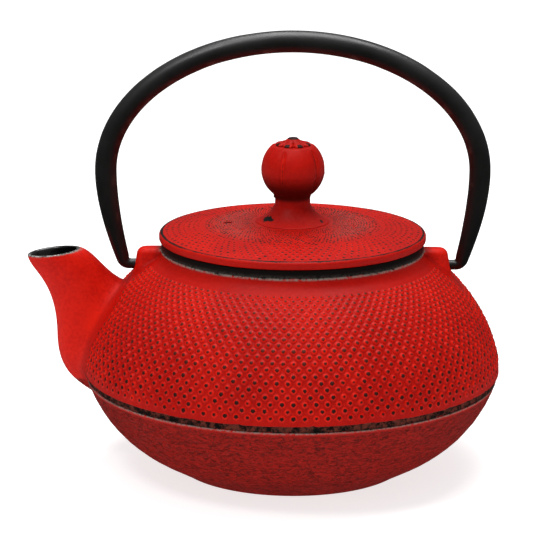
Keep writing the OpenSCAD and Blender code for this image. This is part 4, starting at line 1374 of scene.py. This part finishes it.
def buildInfuser():
    # rim and ring are closed loops turned about Z
    out, bore, lip, edge = (infuser[key] for key in ("collarOut", "collarIn", "lipBore", "flangeRadius"))
    high, shelf, low = infuser["flangeHigh"], infuser["flangeLow"], infuser["collarLow"]
    flange = [(bore, high, 0.5), (bore, low, 0.1), (out, low, 0.1), (out, shelf, 0.35),
              (edge, shelf, 0.2), (edge, high, 0.2)]
    rim = meshObject("infuserRim", *turnedRing(softCorners(flange), 192), [rimSteel])
    low, high = infuser["ringLow"], infuser["ringHigh"]
    shelf = low + infuser["lipThickness"]
    base = [(bore, high, 0.1), (bore, shelf, 0.15), (lip, shelf, 0.1),
            (lip, low, 0.1), (out, low, 0.45), (out, high, 0.1)]
    ring = meshObject("infuserRing", *turnedRing(softCorners(base), 192), [rimSteel])
    # the strip: a closed band bent round the wall, from one side of the seam to the other
    low, high = infuser["stripLow"], infuser["stripHigh"]
    reach = infuser["stripWidth"] / 2 / out
    a = math.pi / 2 + np.linspace(-reach, reach, 13)
    near, soft = bore + 0.01, 0.12
    section = softCorners([(near, high, soft), (near, low, soft), (out, low, soft), (out, high, soft)], 3)
    rings = turnedThrough(section, a).swapaxes(0, 1)
    ends = rings.mean(1)
    strip = meshObject("infuserStrip", *closedSkin(rings[::-1], ends[-1], ends[0]), [rimSteel])
    wall = meshObject("infuserWall", *wovenWall(), [wireSteel])
    disc = meshObject("infuserBase", *wovenBase(), [wireSteel])
    for piece, node in ((rim, "infuser_rim"), (ring, "infuser_base_ring"), (strip, "infuser_seam_strip"),
                        (wall, "infuser_wall"), (disc, "infuser_base_mesh")):
        sharpenBy(piece, 50)
        belongs(piece, "infuser", "stainless", node)
        print("infuser:", piece.name, len(piece.data.polygons), "faces")


buildInfuser()

# in metres and degrees
view = {
    "elevation": 13.8, "distance": 1.0, "aimX": -0.0092, "aimZ": 0.0725, "fieldOfView": 10.87, "roll": 0.25,
}


def placeCamera():
    # in front of the pot and above it, by distance and elevation from the point that it aims at
    lens = bpy.data.cameras.new("camera")
    lens.angle = math.radians(view["fieldOfView"])
    lens.clip_end = 20
    camera = bpy.data.objects.new("camera", lens)
    bpy.context.scene.collection.objects.link(camera)
    e = math.radians(view["elevation"])
    back, up = view["distance"] * math.cos(e), view["distance"] * math.sin(e)
    place = Vector((view["aimX"], -back, view["aimZ"] + up))
    tilt = Matrix.Rotation(math.pi / 2 - e, 4, "X") @ Matrix.Rotation(math.radians(view["roll"]), 4, "Z")
    camera.matrix_world = Matrix.Translation(place) @ tilt
    bpy.context.scene.camera = camera


# in metres and watts; the sky's shades are from straight up, from the side and from below
studio = {
    "floorSize": 6.0, "floorShade": 0.55, "floorGlow": 0.75, "skyTop": 0.50, "skySide": 0.13, "skyLow": 0.05,
    "keyPower": 6.0, "keySize": 0.35, "keyPlace": (-0.48, -0.55, 1.25),
    "topPower": 15.0, "topSize": 0.8, "topPlace": (0.05, 0.10, 1.15), "lightAim": (0, 0, 0.06),
}


def areaLight(name, place, size, power):
    # a square lamp turned from its place to the shared aim
    lamp = bpy.data.lights.new(name, "AREA")
    lamp.size, lamp.energy = size, power
    light = bpy.data.objects.new(name, lamp)
    bpy.context.scene.collection.objects.link(light)
    direction = Vector(studio["lightAim"]) - Vector(place)
    light.matrix_world = Matrix.Translation(place) @ direction.to_track_quat("-Z", "Y").to_matrix().to_4x4()


def buildFloor():
    # matt pale paper that glows a little, which keeps it plain all the way out
    size = studio["floorSize"]
    points = np.array([[-size, -size, 0], [size, -size, 0], [size, size, 0], [-size, size, 0]], float) / mm
    material, tree, shader = newMaterial("palePaper")
    w = Wiring(tree)
    shade = studio["floorShade"]
    w.feed(shader.inputs["Base Color"], w.mix(w.noise(3, 2, 0.5), grey(shade - 0.01), grey(shade + 0.01)))
    shader.inputs["Roughness"].default_value = 0.9
    shader.inputs["Specular IOR Level"].default_value = 0.0
    shader.inputs["Emission Color"].default_value = (1.0, 1.0, 1.0, 1.0)
    shader.inputs["Emission Strength"].default_value = studio["floorGlow"]
    floor = meshObject("floor", points, [np.array([[0, 1, 2, 3]])], [material])
    floor.visible_glossy = False


def buildSky():
    # the shade follows the direction's height, from -1 straight down to 1 straight up
    world = bpy.data.worlds.new("softSky")
    world.use_nodes = True
    bpy.context.scene.world = world
    tree = world.node_tree
    tree.nodes.clear()
    output = tree.nodes.new("ShaderNodeOutputWorld")
    background = tree.nodes.new("ShaderNodeBackground")
    coordinates = tree.nodes.new("ShaderNodeTexCoord")
    split = tree.nodes.new("ShaderNodeSeparateXYZ")
    lift = tree.nodes.new("ShaderNodeMapRange")
    ramp = tree.nodes.new("ShaderNodeValToRGB")
    lift.inputs["From Min"].default_value = -1.0
    stops = ramp.color_ramp.elements
    stops[0].position, stops[0].color = 0.30, grey(studio["skyLow"])
    stops[1].position, stops[1].color = 1.0, grey(studio["skyTop"])
    stops.new(0.55).color = grey(studio["skySide"])
    tree.links.new(coordinates.outputs["Generated"], split.inputs[0])
    tree.links.new(split.outputs["Z"], lift.inputs[0])
    tree.links.new(lift.outputs[0], ramp.inputs[0])
    tree.links.new(ramp.outputs[0], background.inputs[0])
    tree.links.new(background.outputs[0], output.inputs[0])


def buildStudio():
    buildFloor()
    buildSky()
    areaLight("keyLight", studio["keyPlace"], studio["keySize"], studio["keyPower"])
    areaLight("topLight", studio["topPlace"], studio["topSize"], studio["topPower"])
    bpy.context.scene.view_settings.view_transform = "Standard"


placeCamera()
buildStudio()
print("studio set")
